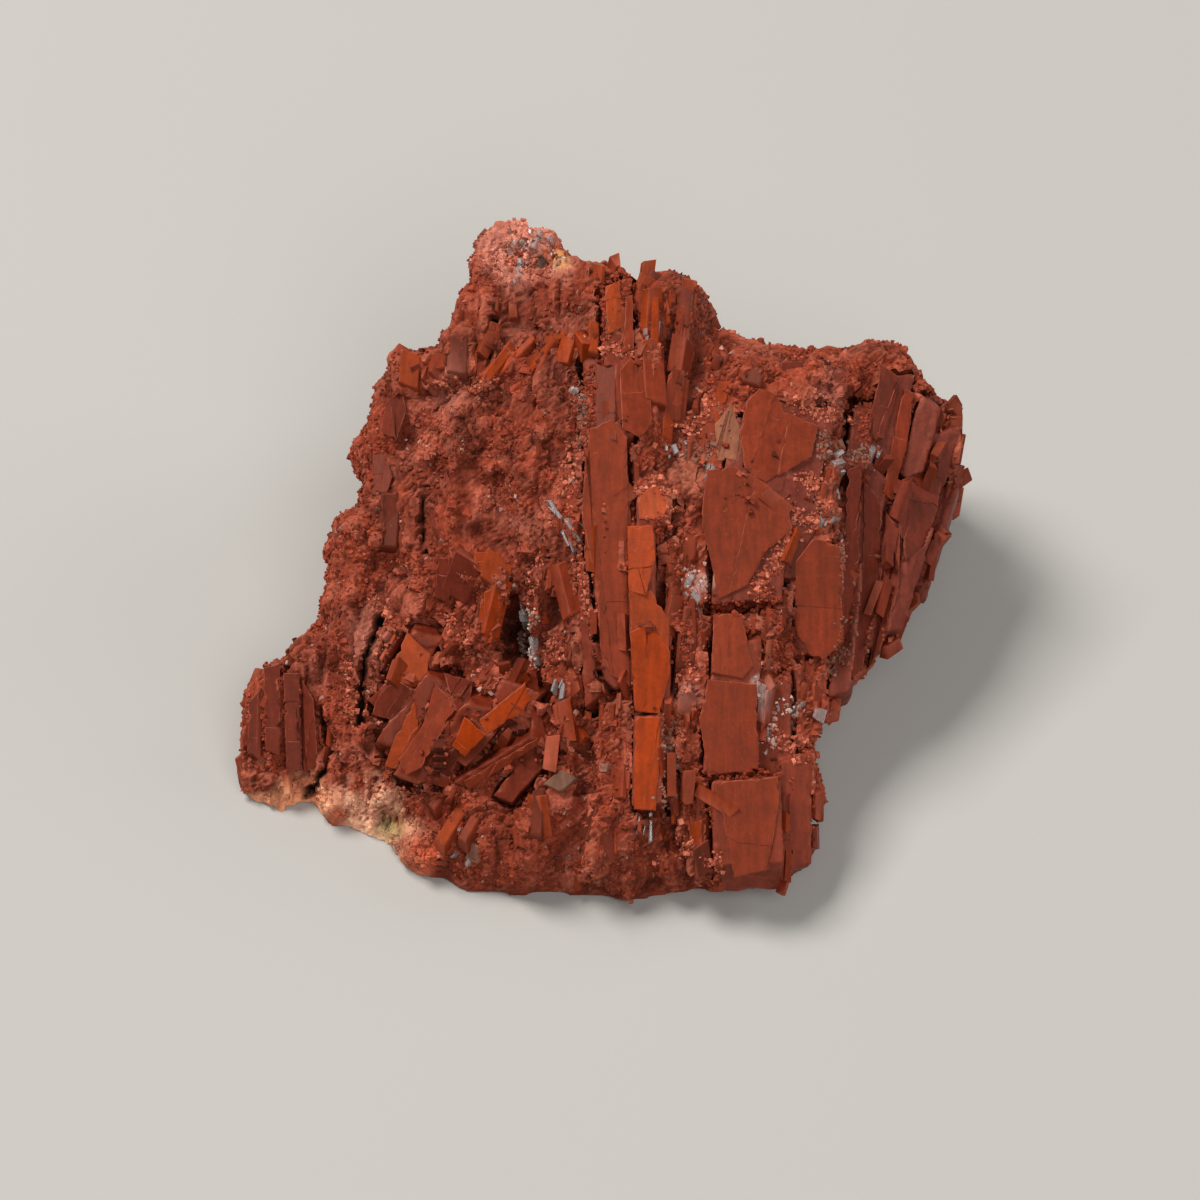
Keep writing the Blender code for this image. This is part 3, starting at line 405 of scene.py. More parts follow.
# Clear splinters: x, h, lean in degrees, length, width.
CLEAR_PLACES = (
    (-1.9, 3.7, -32, 0.9, 0.16), (-1.2, 2.8, -30, 1.0, 0.16), (-0.6, 8.2, -10, 0.6, 0.28),
    (2.5, 11.3, 8, 0.6, 0.25), (1.1, 9.6, 0, 0.4, 0.3), (-3.2, -0.9, -4, 1.0, 0.16),
    (-2.9, -2.2, 2, 1.1, 0.16), (3.6, 0.9, 20, 0.6, 0.28), (3.9, 0.2, -30, 0.5, 0.28),
    (6.65, -4.2, 4, 1.1, 0.12), (6.7, -5.7, -4, 1.0, 0.12), (7.8, -4.4, 30, 0.6, 0.3),
    (9.9, 5.7, 60, 0.6, 0.28), (11.1, 5.9, 20, 0.6, 0.26), (8.6, 4.6, -20, 0.5, 0.25),
    (8.9, 3.3, 25, 0.6, 0.28), (2.2, -9.3, 0, 1.2, 0.12), (-5.4, -10.3, 40, 0.5, 0.26),
    (4.6, 5.4, 30, 0.5, 0.24), (3.1, 6.3, -20, 0.4, 0.22), (6.6, 1.2, 30, 0.6, 0.2),
    (12.9, 2.2, 18, 0.7, 0.18), (-4.9, -5.1, -48, 0.7, 0.05), (-2.6, 15.0, 20, 0.5, 0.3),
    (-3.4, 13.9, -20, 0.45, 0.28), (12.2, 8.3, 16, 0.9, 0.05), (-1.7, -3.6, 6, 0.9, 0.2),
)


def to_face(points):
    return (points - FACE_ORIGIN) @ FACE_AXES.T


def from_face(places):
    return places @ FACE_AXES + FACE_ORIGIN


def hashed(*keys):
    """A repeatable number from 0 to 1 for each set of whole numbers."""
    total = np.zeros(np.shape(keys[0]), np.uint64)
    for index, key in enumerate(keys):
        whole = np.asarray(key, np.int64).astype(np.uint64)
        total = total * np.uint64(6364136223846793005) + whole * np.uint64(2654435761 + 97 * index)
        total ^= total >> np.uint64(29)
    total *= np.uint64(11400714819323198485)
    return ((total >> np.uint64(40)).astype(np.float64)) / float(1 << 24)


def soft_noise(points, size, seed=0):
    """Smooth noise from -1 to 1, blended between the corners of cells of that size."""
    scaled = points / size + 100.0
    base = np.floor(scaled)
    part = scaled - base
    part = part * part * (3 - 2 * part)
    total = np.zeros(len(points))
    for corner in np.ndindex(2, 2, 2):
        corner = np.array(corner)
        weight = np.prod(np.where(corner, part, 1 - part), axis=1)
        total += weight * hashed(*(base + corner).T, seed + 0 * base[:, 0])
    return total * 2 - 1


def layered_noise(points, size, layers=3, seed=0):
    total = np.zeros(len(points))
    for layer in range(layers):
        total += soft_noise(points, size / 2**layer, seed + layer) / 2**layer
    return total


def crumbs(points, size, seed=0):
    """For each point, the distance to the nearest of many scattered centres, and that centre's number."""
    scaled = points / size + 100.0
    base = np.floor(scaled)
    near = np.full(len(points), 9.0)
    number = np.zeros(len(points))
    for corner in np.ndindex(3, 3, 3):
        cell = base + np.array(corner) - 1
        tags = [hashed(*cell.T, seed + axis + 0 * cell[:, 0]) for axis in range(3)]
        gap = np.linalg.norm(cell + np.stack(tags, axis=1) - scaled, axis=1)
        closer = gap < near
        near = np.where(closer, gap, near)
        number = np.where(closer, tags[0], number)
    return near, number


def grain_at(places):
    """Lean in radians and bladedness at face places, blended between the chosen ones."""
    chosen = np.array(GRAIN_PLACES)
    gap = ((places[:, None, :2] - chosen[None, :, :2]) ** 2).sum(axis=2)
    weight = 1 / (gap + 1.0) ** 2
    weight /= weight.sum(axis=1, keepdims=True)
    return np.radians(weight @ chosen[:, 2]), weight @ chosen[:, 3]


def along_across(points):
    """Each point's run along and across its own blades, its height, and how bladed it is there."""
    places = to_face(points)
    lean, bladed = grain_at(places)
    across = places[:, 0] * np.cos(lean) - places[:, 1] * np.sin(lean)
    along = places[:, 0] * np.sin(lean) + places[:, 1] * np.cos(lean)
    return along, across, places[:, 2], bladed


def blade_steps(points, width, length, seed):
    """Flat-topped steps like broken blades: a height from 0 to 1, tilted a little on each, and a number."""
    along, across, out, _ = along_across(points)
    column_place = across / width + 0.4 * soft_noise(points, 3 * width, seed)
    column = np.floor(column_place)
    run_place = along / length + 19 * hashed(column, seed + 0 * column)
    run_place += 0.15 * soft_noise(points, length / 3, seed + 5)
    run = np.floor(run_place)
    layer = np.floor(out / (2.5 * width) + 3 * hashed(column, run))
    number = hashed(column, run, layer, seed + 0 * column)
    roll = (hashed(run, column, layer) - 0.5) * (column_place - column - 0.5)
    pitch = (hashed(layer, run, column) - 0.5) * (run_place - run - 0.5)
    return number + 0.9 * roll + 0.8 * pitch, number


def read_vectors(items, name):
    values = np.empty(len(items) * 3, np.float32)
    items.foreach_get(name, values)
    return values.reshape(-1, 3).astype(float)


def read_points(mesh):
    return read_vectors(mesh.vertices, "co")


def write_points(mesh, points):
    mesh.vertices.foreach_set("co", np.ascontiguousarray(points, np.float32).ravel())
    mesh.update()


def read_normals(mesh):
    return read_vectors(mesh.vertex_normals, "vector")


def inside(places, corners):
    """Which places lie within the outline, by crossings of its sides."""
    within = np.zeros(len(places), bool)
    for (x1, h1), (x2, h2) in zip(corners, corners[1:] + corners[:1]):
        crosses = (h1 > places[:, 1]) != (h2 > places[:, 1])
        reach = x1 + (places[:, 1] - h1) * (x2 - x1) / (h2 - h1 if h1 != h2 else 1e-9)
        within ^= crosses & (places[:, 0] < reach)
    return within


def plate_plane(places, facing, corners):
    """A plane w = a x + b h + c over the outline, laid on the highest of the surface there."""
    ring = np.array(corners)
    chosen = np.flatnonzero(inside(places, corners) & (facing > PLATE_FACING))
    if len(chosen) < PLATE_SPOTS:
        gap = np.hypot(*(places[:, :2] - ring.mean(axis=0)).T) + 9 * (facing < PLATE_FACING)
        chosen = np.argsort(gap)[:NEAREST_SPOTS]
    spots = places[chosen]
    spots = spots[spots[:, 2] > np.quantile(spots[:, 2], 0.75) - SPOT_RANGE]
    columns = np.column_stack((spots[:, :2], np.ones(len(spots))))
    plane = np.linalg.lstsq(columns, spots[:, 2], rcond=None)[0]
    plane[:2] = np.clip(plane[:2], -PLATE_SLOPE, PLATE_SLOPE)
    plane[2] = np.quantile(spots[:, 2] - spots[:, :2] @ plane[:2], 0.6)
    return plane


def clipped(ring, direction, offset):
    """What of an outline lies beyond a line across it."""
    side = ring @ direction - offset
    kept = []
    for index, corner in enumerate(ring):
        after = (index + 1) % len(ring)
        if side[index] > 0:
            kept.append(corner)
        if side[index] * side[after] < 0:
            share = side[index] / (side[index] - side[after])
            kept.append(corner + share * (ring[after] - corner))
    return np.array(kept)


def nicked(ring, rng):
    """The outline, counterclockwise, with points along its sides and small nicks in them."""
    turn = np.sum(ring[:, 0] * np.roll(ring[:, 1], -1) - ring[:, 1] * np.roll(ring[:, 0], -1))
    if turn < 0:
        ring = ring[::-1]
    made = []
    for start, end in zip(ring, np.roll(ring, -1, axis=0)):
        count = max(int(np.linalg.norm(end - start) / NICK_STEP), 1)
        made.extend(start + share * (end - start) for share in np.arange(count) / count)
    made = np.array(made)
    nicks = np.abs(rng.normal(0, NICK_DEPTH, len(made))) + DEEP_NICK * (rng.random(len(made)) < DEEP_NICKS)
    return made + inward(made) * nicks[:, None]


def inward(ring):
    """The direction into a counterclockwise outline at each of its points."""
    run = np.roll(ring, -1, axis=0) - np.roll(ring, 1, axis=0)
    return unit(np.column_stack((-run[:, 1], run[:, 0])))


def plate_block(plane, lift, ring):
    """A closed block with a flat, bevelled top on the plane: its points and its faces."""
    low = ring + 0.12 * inward(ring)
    inner = ring + BEVEL * inward(ring)
    top = ring @ plane[:2] + plane[2] + lift
    places = np.concatenate((
        np.column_stack((low, top - PLATE_DEPTH)),
        np.column_stack((ring, top - 0.6 * BEVEL)),
        np.column_stack((inner, inner @ plane[:2] + plane[2] + lift)),
    ))
    return from_face(places), ring_faces(len(ring), 3)


def crystal_faces(name, slot, plates, seed):
    """The smooth cleavage faces of a group, each with steps, mostly along the blades' own run."""
    rng = np.random.default_rng(seed)
    shapes = []
    colours = []
    for plane, lift, colour, corners in plates:
        outline = np.array(corners)
        centre = outline.mean(axis=0)
        lean = float(grain_at(centre[None, :])[0][0])
        across = np.array((math.cos(lean), -math.sin(lean)))
        steps = [(outline, lift)]
        for level in range(1, 1 + rng.integers(1, 4)):
            along_run = rng.random() < STEPS_ALONG
            turn = math.radians(rng.normal(0, STEP_TURN)) + (0.0 if along_run else math.radians(90))
            direction = np.array((
                across[0] * math.cos(turn) - across[1] * math.sin(turn),
                across[0] * math.sin(turn) + across[1] * math.cos(turn),
            )) * rng.choice((-1, 1))
            reach = outline @ direction
            offset = reach.min() + rng.uniform(*STEP_PLACES) * (reach.max() - reach.min())
            step = clipped(outline, direction, offset)
            if len(step) > 2:
                steps.append((step, lift + FACE_STEP * level))
        for step, height in steps:
            ring = nicked(step, rng)
            points, faces = plate_block(plane, height, ring)
            shapes.append((points, faces))
            tone = np.array(colour) * rng.uniform(0.9, 1.1)
            # Painted shade: the sides darken towards the foot. Painted highlight: the top edge ring is
            # paler pink.
            pale = mix(np.tile(tone, (len(ring), 1)), PINK, rng.uniform(0, 0.45, len(ring)))
            colours.extend((np.tile(tone * 0.7, (len(ring), 1)), pale, np.tile(tone, (len(ring), 1))))
    item = new_object(name, *joined(shapes))
    tint = np.concatenate(colours)
    paint(item.data, tint, np.full(len(tint), FACE_GLOSS))
    return finished(item, slot)


def ring_faces(count, rings):
    """Side faces between rings of that many corners, and a cap at each end."""
    faces = [tuple(range(count))[::-1], tuple(range(count * (rings - 1), count * rings))]
    for ring in range(rings - 1):
        for corner in range(count):
            low = ring * count
            after = (corner + 1) % count
            faces.append((low + corner, low + after, low + count + after, low + count + corner))
    return faces


def joined(meshes):
    """Vertices and faces of several (points, faces) sets as one."""
    points = []
    faces = []
    start = 0
    for part_points, part_faces in meshes:
        points.append(part_points)
        faces.extend([tuple(corner + start for corner in face) for face in part_faces])
        start += len(part_points)
    return np.concatenate(points), faces


def node_shape(name):
    """A CAD node's points in millimetres, its faces and its vertex normals."""
    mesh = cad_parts[name].data
    return read_points(mesh) / MM, [tuple(face.vertices) for face in mesh.polygons], read_normals(mesh)


def in_scene(name, data):
    made = bpy.data.objects.new(name, data)
    bpy.context.scene.collection.objects.link(made)
    return made


def new_object(name, points, faces):
    mesh = bpy.data.meshes.new(name)
    mesh.from_pydata(points.tolist(), [], faces)
    mesh.update()
    return in_scene(name, mesh)


def remeshed(item, voxel):
    """An even skin over all that the object holds, overlaps merged."""
    even = item.modifiers.new("even", "REMESH")
    even.mode = "VOXEL"
    even.voxel_size = voxel
    bpy.context.view_layer.update()
    graph = bpy.context.evaluated_depsgraph_get()
    mesh = bpy.data.meshes.new_from_object(item.evaluated_get(graph))
    item.modifiers.clear()
    item.data = mesh


def edge_ends(mesh):
    ends = np.empty(len(mesh.edges) * 2, np.int32)
    mesh.edges.foreach_get("vertices", ends)
    return ends.reshape(-1, 2)


def spread(ends, values, rounds=1):
    """The values, each replaced by the mean of its neighbours', over and over."""
    size = len(values)
    count = np.bincount(ends.ravel(), minlength=size)
    for _ in range(rounds):
        columns = []
        for column in values.reshape(size, -1).T:
            total = np.bincount(ends[:, 0], column[ends[:, 1]], size)
            total += np.bincount(ends[:, 1], column[ends[:, 0]], size)
            columns.append(total / np.maximum(count, 1))
        values = np.stack(columns, axis=1).reshape(values.shape)
    return values


def unit(vectors):
    return vectors / np.maximum(np.linalg.norm(vectors, axis=-1, keepdims=True), 1e-9)


def sharpness(mesh, points, normals):
    """How far each vertex stands out of its neighbours: above 0 on edges, below 0 in creases."""
    ends = edge_ends(mesh)
    out = ((points - spread(ends, points)) * normals).sum(axis=1)
    return 0.5 * out + 0.5 * spread(ends, out, 2)


def mix(first, second, amount):
    amount = np.clip(amount, 0, 1)[:, None]
    return first * (1 - amount) + np.asarray(second) * amount


def paint(mesh, tint, gloss):
    """Stores a colour and a gloss for each vertex, which the materials read."""
    colours = mesh.color_attributes.new("tint", "FLOAT_COLOR", "POINT")
    rgba = np.ones((len(mesh.vertices), 4))
    rgba[:, :3] = np.clip(tint, 0, 1)
    colours.data.foreach_set("color", rgba.astype(np.float32).ravel())
    values = mesh.attributes.new("gloss", "FLOAT", "POINT")
    values.data.foreach_set("value", np.clip(gloss, 0, 1).astype(np.float32))


def patched(tint, points):
    """Adds the patches, their edges broken up by noise, where they lie on the face."""
    places = to_face(points)
    ragged = layered_noise(points, 1.2, 3, 40)
    for x, h, radius, colour, strength in PATCHES:
        gap = np.hypot(places[:, 0] - x, places[:, 1] - h) / radius
        amount = np.clip(1.6 * (1 - gap + PATCH_RAGGED * ragged), 0, 1) * strength
        tint = mix(tint, colour, amount * np.clip((places[:, 2] - PATCH_LOWEST) / PATCH_FADE, 0, 1))
    return tint


def clouded(tint, points):
    """The rock's broad change of colour, from deep maroon to salmon."""
    deep = layered_noise(points, 1.8, 4, 77)
    pale = layered_noise(points, 1.3, 4, 79)
    tint = mix(tint, MAROON, np.clip(deep * 1.8, 0, 0.8))
    return mix(tint, SALMON, np.clip(pale * 1.2 - 0.25, 0, 0.45))


def rock_tint(points, number, out):
    """The rock's colour at each vertex: tone by step and lump, a painted highlight on edges, painted shade
    in creases.
    """
    bladed = along_across(points)[3]
    tint = mix(np.tile(GRANULAR, (len(points), 1)), BLADE, bladed * 0.8 + 0.4 * (number - 0.5))
    tint *= (0.8 + 0.35 * number + 0.2 * layered_noise(points, 2.5, 3, 61))[:, None]
    # Painted highlight: paler pink on sharp edges.
    tint = mix(clouded(tint, points), PINK, np.clip(out * 8, 0, 0.35))
    tint = patched(tint, points)
    # Painted shade: darker in creases.
    return mix(tint, RECESS_SHADE, np.clip(-out * 16, 0, 0.75))


def rock_shape():
    """The rock with its seams filled: its skin, points and normals, and the relief to add to them.

    The last two are the number of the step or lump that each point is in, and how bladed it is there.
    """
    shapes = [node_shape("matrix")[:2]]
    for name in CRYSTAL_NODES:
        points, faces, normals = node_shape(name)
        grown = points + normals * SEAM_FILL - FACE_AXES[2] * SEAM_SINK
        shapes.append((grown, faces))
    skin = new_object("rock_skin", *joined(shapes))
    remeshed(skin, SKIN_VOXEL)
    smoothed(skin.data, 2)
    points = read_points(skin.data)
    normals = read_normals(skin.data)
    along, across, out, bladed = along_across(points)
    steps = np.zeros(len(points))
    numbers = []
    for width, length, seed, height, middle in ROCK_STEPS:
        step, number = blade_steps(points, width, length, seed)
        steps += height * (step - middle)
        numbers.append(number)
    big_gap, big_number = crumbs(points, 1.15, 11)
    small_gap, small_number = crumbs(points, 0.5, 14)
    bumps = 0.3 * (big_number - 0.4) - 0.35 * (big_gap - 0.5) + 0.16 * (small_number - 0.5)
    bumps += -0.2 * (small_gap - 0.5) + 0.16 * layered_noise(points, 0.8, 3, 21)
    ridges = 0.5 * layered_noise(np.column_stack((across, along / 4, out)), 1.4, 3, 35)
    pits = -0.7 * np.clip(layered_noise(points, 1.5, 2, 31) - 0.75, 0, 1)
    share = np.clip(bladed * 1.25 + 0.5 * soft_noise(points, 1.6, 51), 0, 1)
    rise = share * steps + (1 - share) * (bumps + ridges) + pits
    number = share * (0.6 * numbers[0] + 0.4 * numbers[1])
    number += (1 - share) * (0.5 * big_number + 0.5 * small_number)
    return skin, points, normals, rise, number, share


def spread_tops(tops):
    """The crystals' height carried over the gaps between them, and how near they are, from 0 to 1."""
    known = (tops > -50).astype(float)
    height = np.where(tops > -50, tops, 0.0)
    for _ in range(SPREAD_ROUNDS):
        for axis in (0, 1):
            height = (height + np.roll(height, 1, axis) + np.roll(height, -1, axis)) / 3
            known = (known + np.roll(known, 1, axis) + np.roll(known, -1, axis)) / 3
    return height / np.maximum(known, 1e-6), known


def rock_skin(skin, points, normals, rise, number, share, tops):
    """Lays the rock under the crystals' faces and nearly flush between them, and roughens it."""
    low = np.clip(points[:, 2] / FLAT_RISE, 0, 1)  # the flat underside stays flat
    cells = map_cells(to_face(points))
    height, near = spread_tops(tops)
    facing = normals @ FACE_AXES[2] > FACING
    gap = height[cells] - FLUSH - to_face(points)[:, 2]
    fill = np.clip(gap, 0, 1) * np.clip((1.7 - gap) / 0.6, 0, 1) * np.clip(2.5 * near[cells], 0, 1)
    points = points + (fill * facing * low)[:, None] * FACE_AXES[2]
    depth, dark = crack_depth(points, normals)
    points = points + normals * (rise * low)[:, None] - (depth * low)[:, None] * FACE_AXES[2]
    places = to_face(points)
    cells = map_cells(places)
    inner = tops.copy()
    for axis, shift in ((0, 1), (0, -1), (1, 1), (1, -1)):
        inner = np.minimum(inner, np.roll(tops, shift, axis))
    cover = inner[cells] - 2 * PLATE_COVER
    under = facing & (places[:, 2] > cover) & (places[:, 2] < cover + 1.5)
    places[:, 2] = np.where(under, cover, places[:, 2])
    points = from_face(places)
    points[:, 2] = np.maximum(points[:, 2], 0.0)
    mesh = skin.data
    write_points(mesh, points)
    out = sharpness(mesh, points, read_normals(mesh))
    # Painted shade: black inside the cracks.
    paint(mesh, mix(rock_tint(points, number, out), BLACK, dark), 0.25 + 0.35 * share)
    finished(skin, "rock", ("matrix",))
    return points, unit(spread(edge_ends(mesh), normals, 6))


def finished(item, slot, nodes=()):
    """Scales a piece to metres, gives it its material, and ties it to what it stands for."""
    points = read_points(item.data) * MM
    points[:, 2] = np.maximum(points[:, 2], 0.0)  # nothing reaches below the surface it lies on
    write_points(item.data, points)
    item.data.materials.clear()
    item.data.materials.append(MATERIALS[slot])
    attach(item, "root")
    if nodes:
        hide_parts(*nodes)
    return item


def plates_on(slot, points, normals):
    """The planes of a slot's plates, fitted on the surface that they lie on."""
    places = to_face(points)
    facing = normals @ FACE_AXES[2]
    plates = []
    for lift, colour, corners in PLATES[slot]:
        plates.append((plate_plane(places, facing, corners), lift, colour, corners))
    return plates


def map_cells(places):
    """Where in the map each face place falls."""
    cells = np.round(places[:, :2] / CELL).astype(int) + MAP_SPAN // 2
    return tuple(np.clip(cells, 0, MAP_SPAN - 1).T)


def top_map(pieces):
    """For each cell of the face, how far the highest of those pieces stands out."""
    tops = np.full((MAP_SPAN, MAP_SPAN), NOTHING)
    for piece in pieces:
        places = to_face(read_points(piece.data) / MM)
        np.maximum.at(tops, map_cells(places), places[:, 2])
    return tops


def with_plates(tops, plates):
    """The map with the crystal faces' own heights in it."""
    row, column = np.indices(tops.shape)
    places = np.stack((row.ravel(), column.ravel()), axis=1) * CELL - CELL * MAP_SPAN / 2
    for plane, lift, _, corners in plates:
        height = np.where(inside(places, corners), places @ plane[:2] + plane[2] + lift, NOTHING)
        tops = np.maximum(tops, height.reshape(tops.shape))
    return tops


def uncovered(points, normals, crystal_tops):
    """Which skin points have no crystal over them on the face side."""
    places = to_face(points)
    over = crystal_tops[map_cells(places)] > places[:, 2] - 0.1
    return ~(over & (normals @ FACE_AXES[2] > FACING))


def crack_depth(points, normals):
    """How deep the cracks cut in at each point, and how much painted shade each lays in it."""
    places = to_face(points)
    depth = np.zeros(len(points))
    dark = np.zeros(len(points))
    for half, deepest, line in CRACKS:
        for start, end in zip(np.array(line[:-1]), np.array(line[1:])):
            run = end - start
            share = np.clip((places[:, :2] - start) @ run / (run @ run), 0, 1)
            gap = np.linalg.norm(places[:, :2] - start - share[:, None] * run, axis=1)
            gap += 0.04 * np.sin(9 * places[:, 1])
            depth = np.maximum(depth, deepest * np.clip(1.3 - gap / (half + 0.06), 0, 1))
            dark = np.maximum(dark, np.clip(1.6 - gap / half, 0, 1))
    facing = normals @ FACE_AXES[2] > 0.1
    return depth * facing, dark * facing


def smoothed(mesh, rounds):
    """Takes the steps that the voxels leave out of a skin."""
    ends = edge_ends(mesh)
    points = read_points(mesh)
    for _ in range(rounds):
        points = 0.5 * points + 0.5 * spread(ends, points)
    write_points(mesh, points)


def worn(mesh, amount):
    """Chips the edges and lays fine steps on the faces.

    Returns the new points, how worn each is, the numbers of its two steps and how much painted shade a
    crack lays there.
    """
    points = read_points(mesh)
    normals = read_normals(mesh)
    ends = edge_ends(mesh)
    edge = spread(ends, ((points - spread(ends, points, 2)) * normals).sum(axis=1), 2)
    edge = np.clip(edge / 0.03, 0, 1)
    _, number = blade_steps(points, 0.9, 3.6, 5)
    _, fine_number = blade_steps(points, 0.3, 2.4, 6)
    chip = np.clip(2.5 * layered_noise(points, 0.55, 3, 83) - 0.3, 0, 1) + 0.15
    rise = 0.045 * (number - 0.5) + 0.016 * (fine_number - 0.5)
    rise += 0.012 * layered_noise(points, 1.6, 3, 81) - amount * edge * chip
    warp = np.stack([layered_noise(points, 0.8, 4, 85 + axis) for axis in range(2)], axis=1)
    depth, dark = crack_depth(points, normals)
    points = points + normals * rise[:, None] + 0.04 * warp @ FACE_AXES[:2]
    points -= depth[:, None] * FACE_AXES[2]
    points[:, 2] = np.maximum(points[:, 2], 0.0)
    write_points(mesh, points)
    return points, edge * chip, number, fine_number, dark


def crystal_tint(points, base, number, fine_number, wear, out):
    """The colour of the crystals' bodies: tones by step, pale where worn, a painted highlight on sharp
    edges, painted shade in creases. And how pale.
    """
    tint = np.tile(base, (len(points), 1))
    tint *= (0.85 + 0.2 * number + 0.12 * fine_number + 0.12 * layered_noise(points, 2.2, 3, 91))[:, None]
    # Paler where worn, plus a painted highlight on sharp edges.
    tint = mix(tint, PINK, np.clip(0.5 * wear + 5 * np.clip(out, 0, 1), 0, 0.45))
    pale = layered_noise(points, 0.7, 4, 95) * 0.9 - 0.75
    tint = mix(tint, PINK, pale)
    tint = patched(tint, points)
    # Painted shade: darker in creases.
    return mix(tint, RECESS_SHADE, np.clip(-out * 10, 0, 0.5)), np.clip(pale, 0, 1)


def below_plates(points, plates):
    """The points of a crystal's body, lowered where a smooth face lies over them."""
    places = to_face(points)
    for plane, lift, _, corners in plates:
        top = places[:, :2] @ plane[:2] + plane[2] + lift - PLATE_COVER
        over = inside(places, corners) & (places[:, 2] > top) & (places[:, 2] < top + 1.5)
        places[:, 2] = np.where(over, top, places[:, 2])
    return from_face(places)


def crystal_piece(node, slot):
    """A group of crystals: its worn body, and the planes of its smooth faces."""
    points, faces, _ = node_shape(node)
    piece = new_object(node + "_crystals", points, faces)
    remeshed(piece, CRYSTAL_VOXEL)
    smoothed(piece.data, 1)
    mesh = piece.data
    plates = plates_on(slot, read_points(mesh), read_normals(mesh))
    mesh.polygons.foreach_set("use_smooth", np.ones(len(mesh.polygons), bool))
    points, wear, number, fine_number, dark = worn(mesh, 0.15)
    points = below_plates(points, plates)
    write_points(mesh, points)
    out = sharpness(mesh, points, read_normals(mesh))
    tint, pale = crystal_tint(points, CRYSTAL_COLOURS[slot], number, fine_number, wear, out)
    # Painted shade: black inside the cracks.
    paint(mesh, mix(tint, BLACK, dark), 0.7 + 0.25 * number - 0.9 * pale - 0.5 * wear)
    return finished(piece, slot, (node,)), plates


def in_a_plate(places):
    found = np.zeros(len(places), bool)
    for rows in PLATES.values():
        for _, _, corners in rows:
            found |= inside(places, corners)
    return found


def cracked(points):
    """Which points of the face lie in a crack."""
    return crack_depth(points, np.tile(FACE_AXES[2], (len(points), 1)))[1] >= CRACK_DARK


def seats(points, normals, count, wanted, rng, clear_of_plates=False):
    """Places on the skin to grow something on: point, normal, lean and bladedness at each."""
    picked = rng.integers(0, len(points), SEAT_TRIES * count)
    bladed = along_across(points[picked])[3]
    keep = (rng.random(len(picked)) < wanted(bladed)) & (points[picked][:, 2] > LOWEST_SEAT)
    keep &= ~cracked(points[picked])
    if clear_of_plates:
        slope = normals[picked] @ FACE_AXES[2]
        keep &= (slope > 0.5) | (slope < 0.0)
        keep &= np.abs(normals[picked] @ FACE_AXES[1]) < 0.85
        keep &= ~in_a_plate(to_face(points[picked]))
    picked = picked[keep][:count]
    lean, bladed = grain_at(to_face(points[picked]))
    return points[picked], normals[picked], lean + np.radians(rng.normal(0, SEAT_LEAN, len(picked))), bladed


def chips(places, outs, leans, lengths, widths, lifts, rng):
    """Flat crystals with chipped corners and a bevelled top, each sunk in the rock at its place."""
    count = len(places)
    alongs = np.stack((np.sin(leans), np.cos(leans), 0 * leans), axis=1) @ FACE_AXES
    alongs = unit(alongs - (alongs * outs).sum(axis=1, keepdims=True) * outs)
    acrosses = np.cross(alongs, outs)
    chipped = rng.uniform(0.01, 0.16, (count, 4, 2)) * np.minimum(lengths, widths)[:, None, None]
    slants = rng.uniform(-0.5, 0.5, count) * widths
    outline = []
    for corner, (side, end) in enumerate(((1, 1), (-1, 1), (-1, -1), (1, -1))):
        full = (side * widths / 2, end * lengths / 2)
        pair = (
            (full[0], full[1] - end * chipped[:, corner, 0]),
            (full[0] - side * chipped[:, corner, 1], full[1]),
        )
        outline.extend(pair if side * end > 0 else pair[::-1])
    rings = []
    for depth, inset in ((0 * lifts - ROOT, -0.1), (lifts - BEVEL, 0.0), (lifts, BEVEL)):
        for across, along in outline:
            across = across - np.sign(across) * np.minimum(inset, 0.3 * np.abs(across))
            along = along - np.sign(along) * np.minimum(inset, 0.3 * np.abs(along))
            along = along + slants * across / widths
            place = places + acrosses * across[:, None] + alongs * along[:, None]
            rings.append(place + outs * depth[:, None])
    return np.stack(rings, axis=1)


CHIP_FACES = ring_faces(8, 3)


def many(name, corners, faces):
    """One mesh of many shapes that share their faces' layout."""
    count, size, _ = corners.shape
    starts = range(0, count * size, size)
    all_faces = [tuple(start + corner for corner in face) for start in starts for face in faces]
    return new_object(name, corners.reshape(-1, 3), all_faces)


def tones(count, rng):
    """A colour for each small crystal: most like the blades, some more orange or paler."""
    colours = np.tile(BLADE, (count, 1)) * rng.uniform(0.7, 1.25, (count, 1))
    draw = rng.random(count)
    colours = mix(colours, FIBROUS, (draw < 0.2) * rng.uniform(0.3, 1.0, count))
    return mix(colours, PINK, (draw > 0.9) * rng.uniform(0.05, 0.25, count))


def paint_shapes(item, colours, gloss, size, rim_highlight=0.0):
    """Paints each of many shapes in one colour, clouded a little and changed by the patches.

    The last argument, above 0, paints a highlight in pale pink on the chips' top edges.
    """
    count = len(colours)
    colours = np.repeat(colours, size, axis=0)
    if rim_highlight:
        # Painted highlight along the chips' top edge ring.
        colours = mix(colours, PINK, np.tile(np.repeat((0.0, rim_highlight, 0.0), size // 3), count))
    corners = read_points(item.data)
    colours *= (0.95 + 0.15 * layered_noise(corners, 0.8, 2, 5))[:, None]
    paint(item.data, patched(colours, corners), np.repeat(gloss, size))


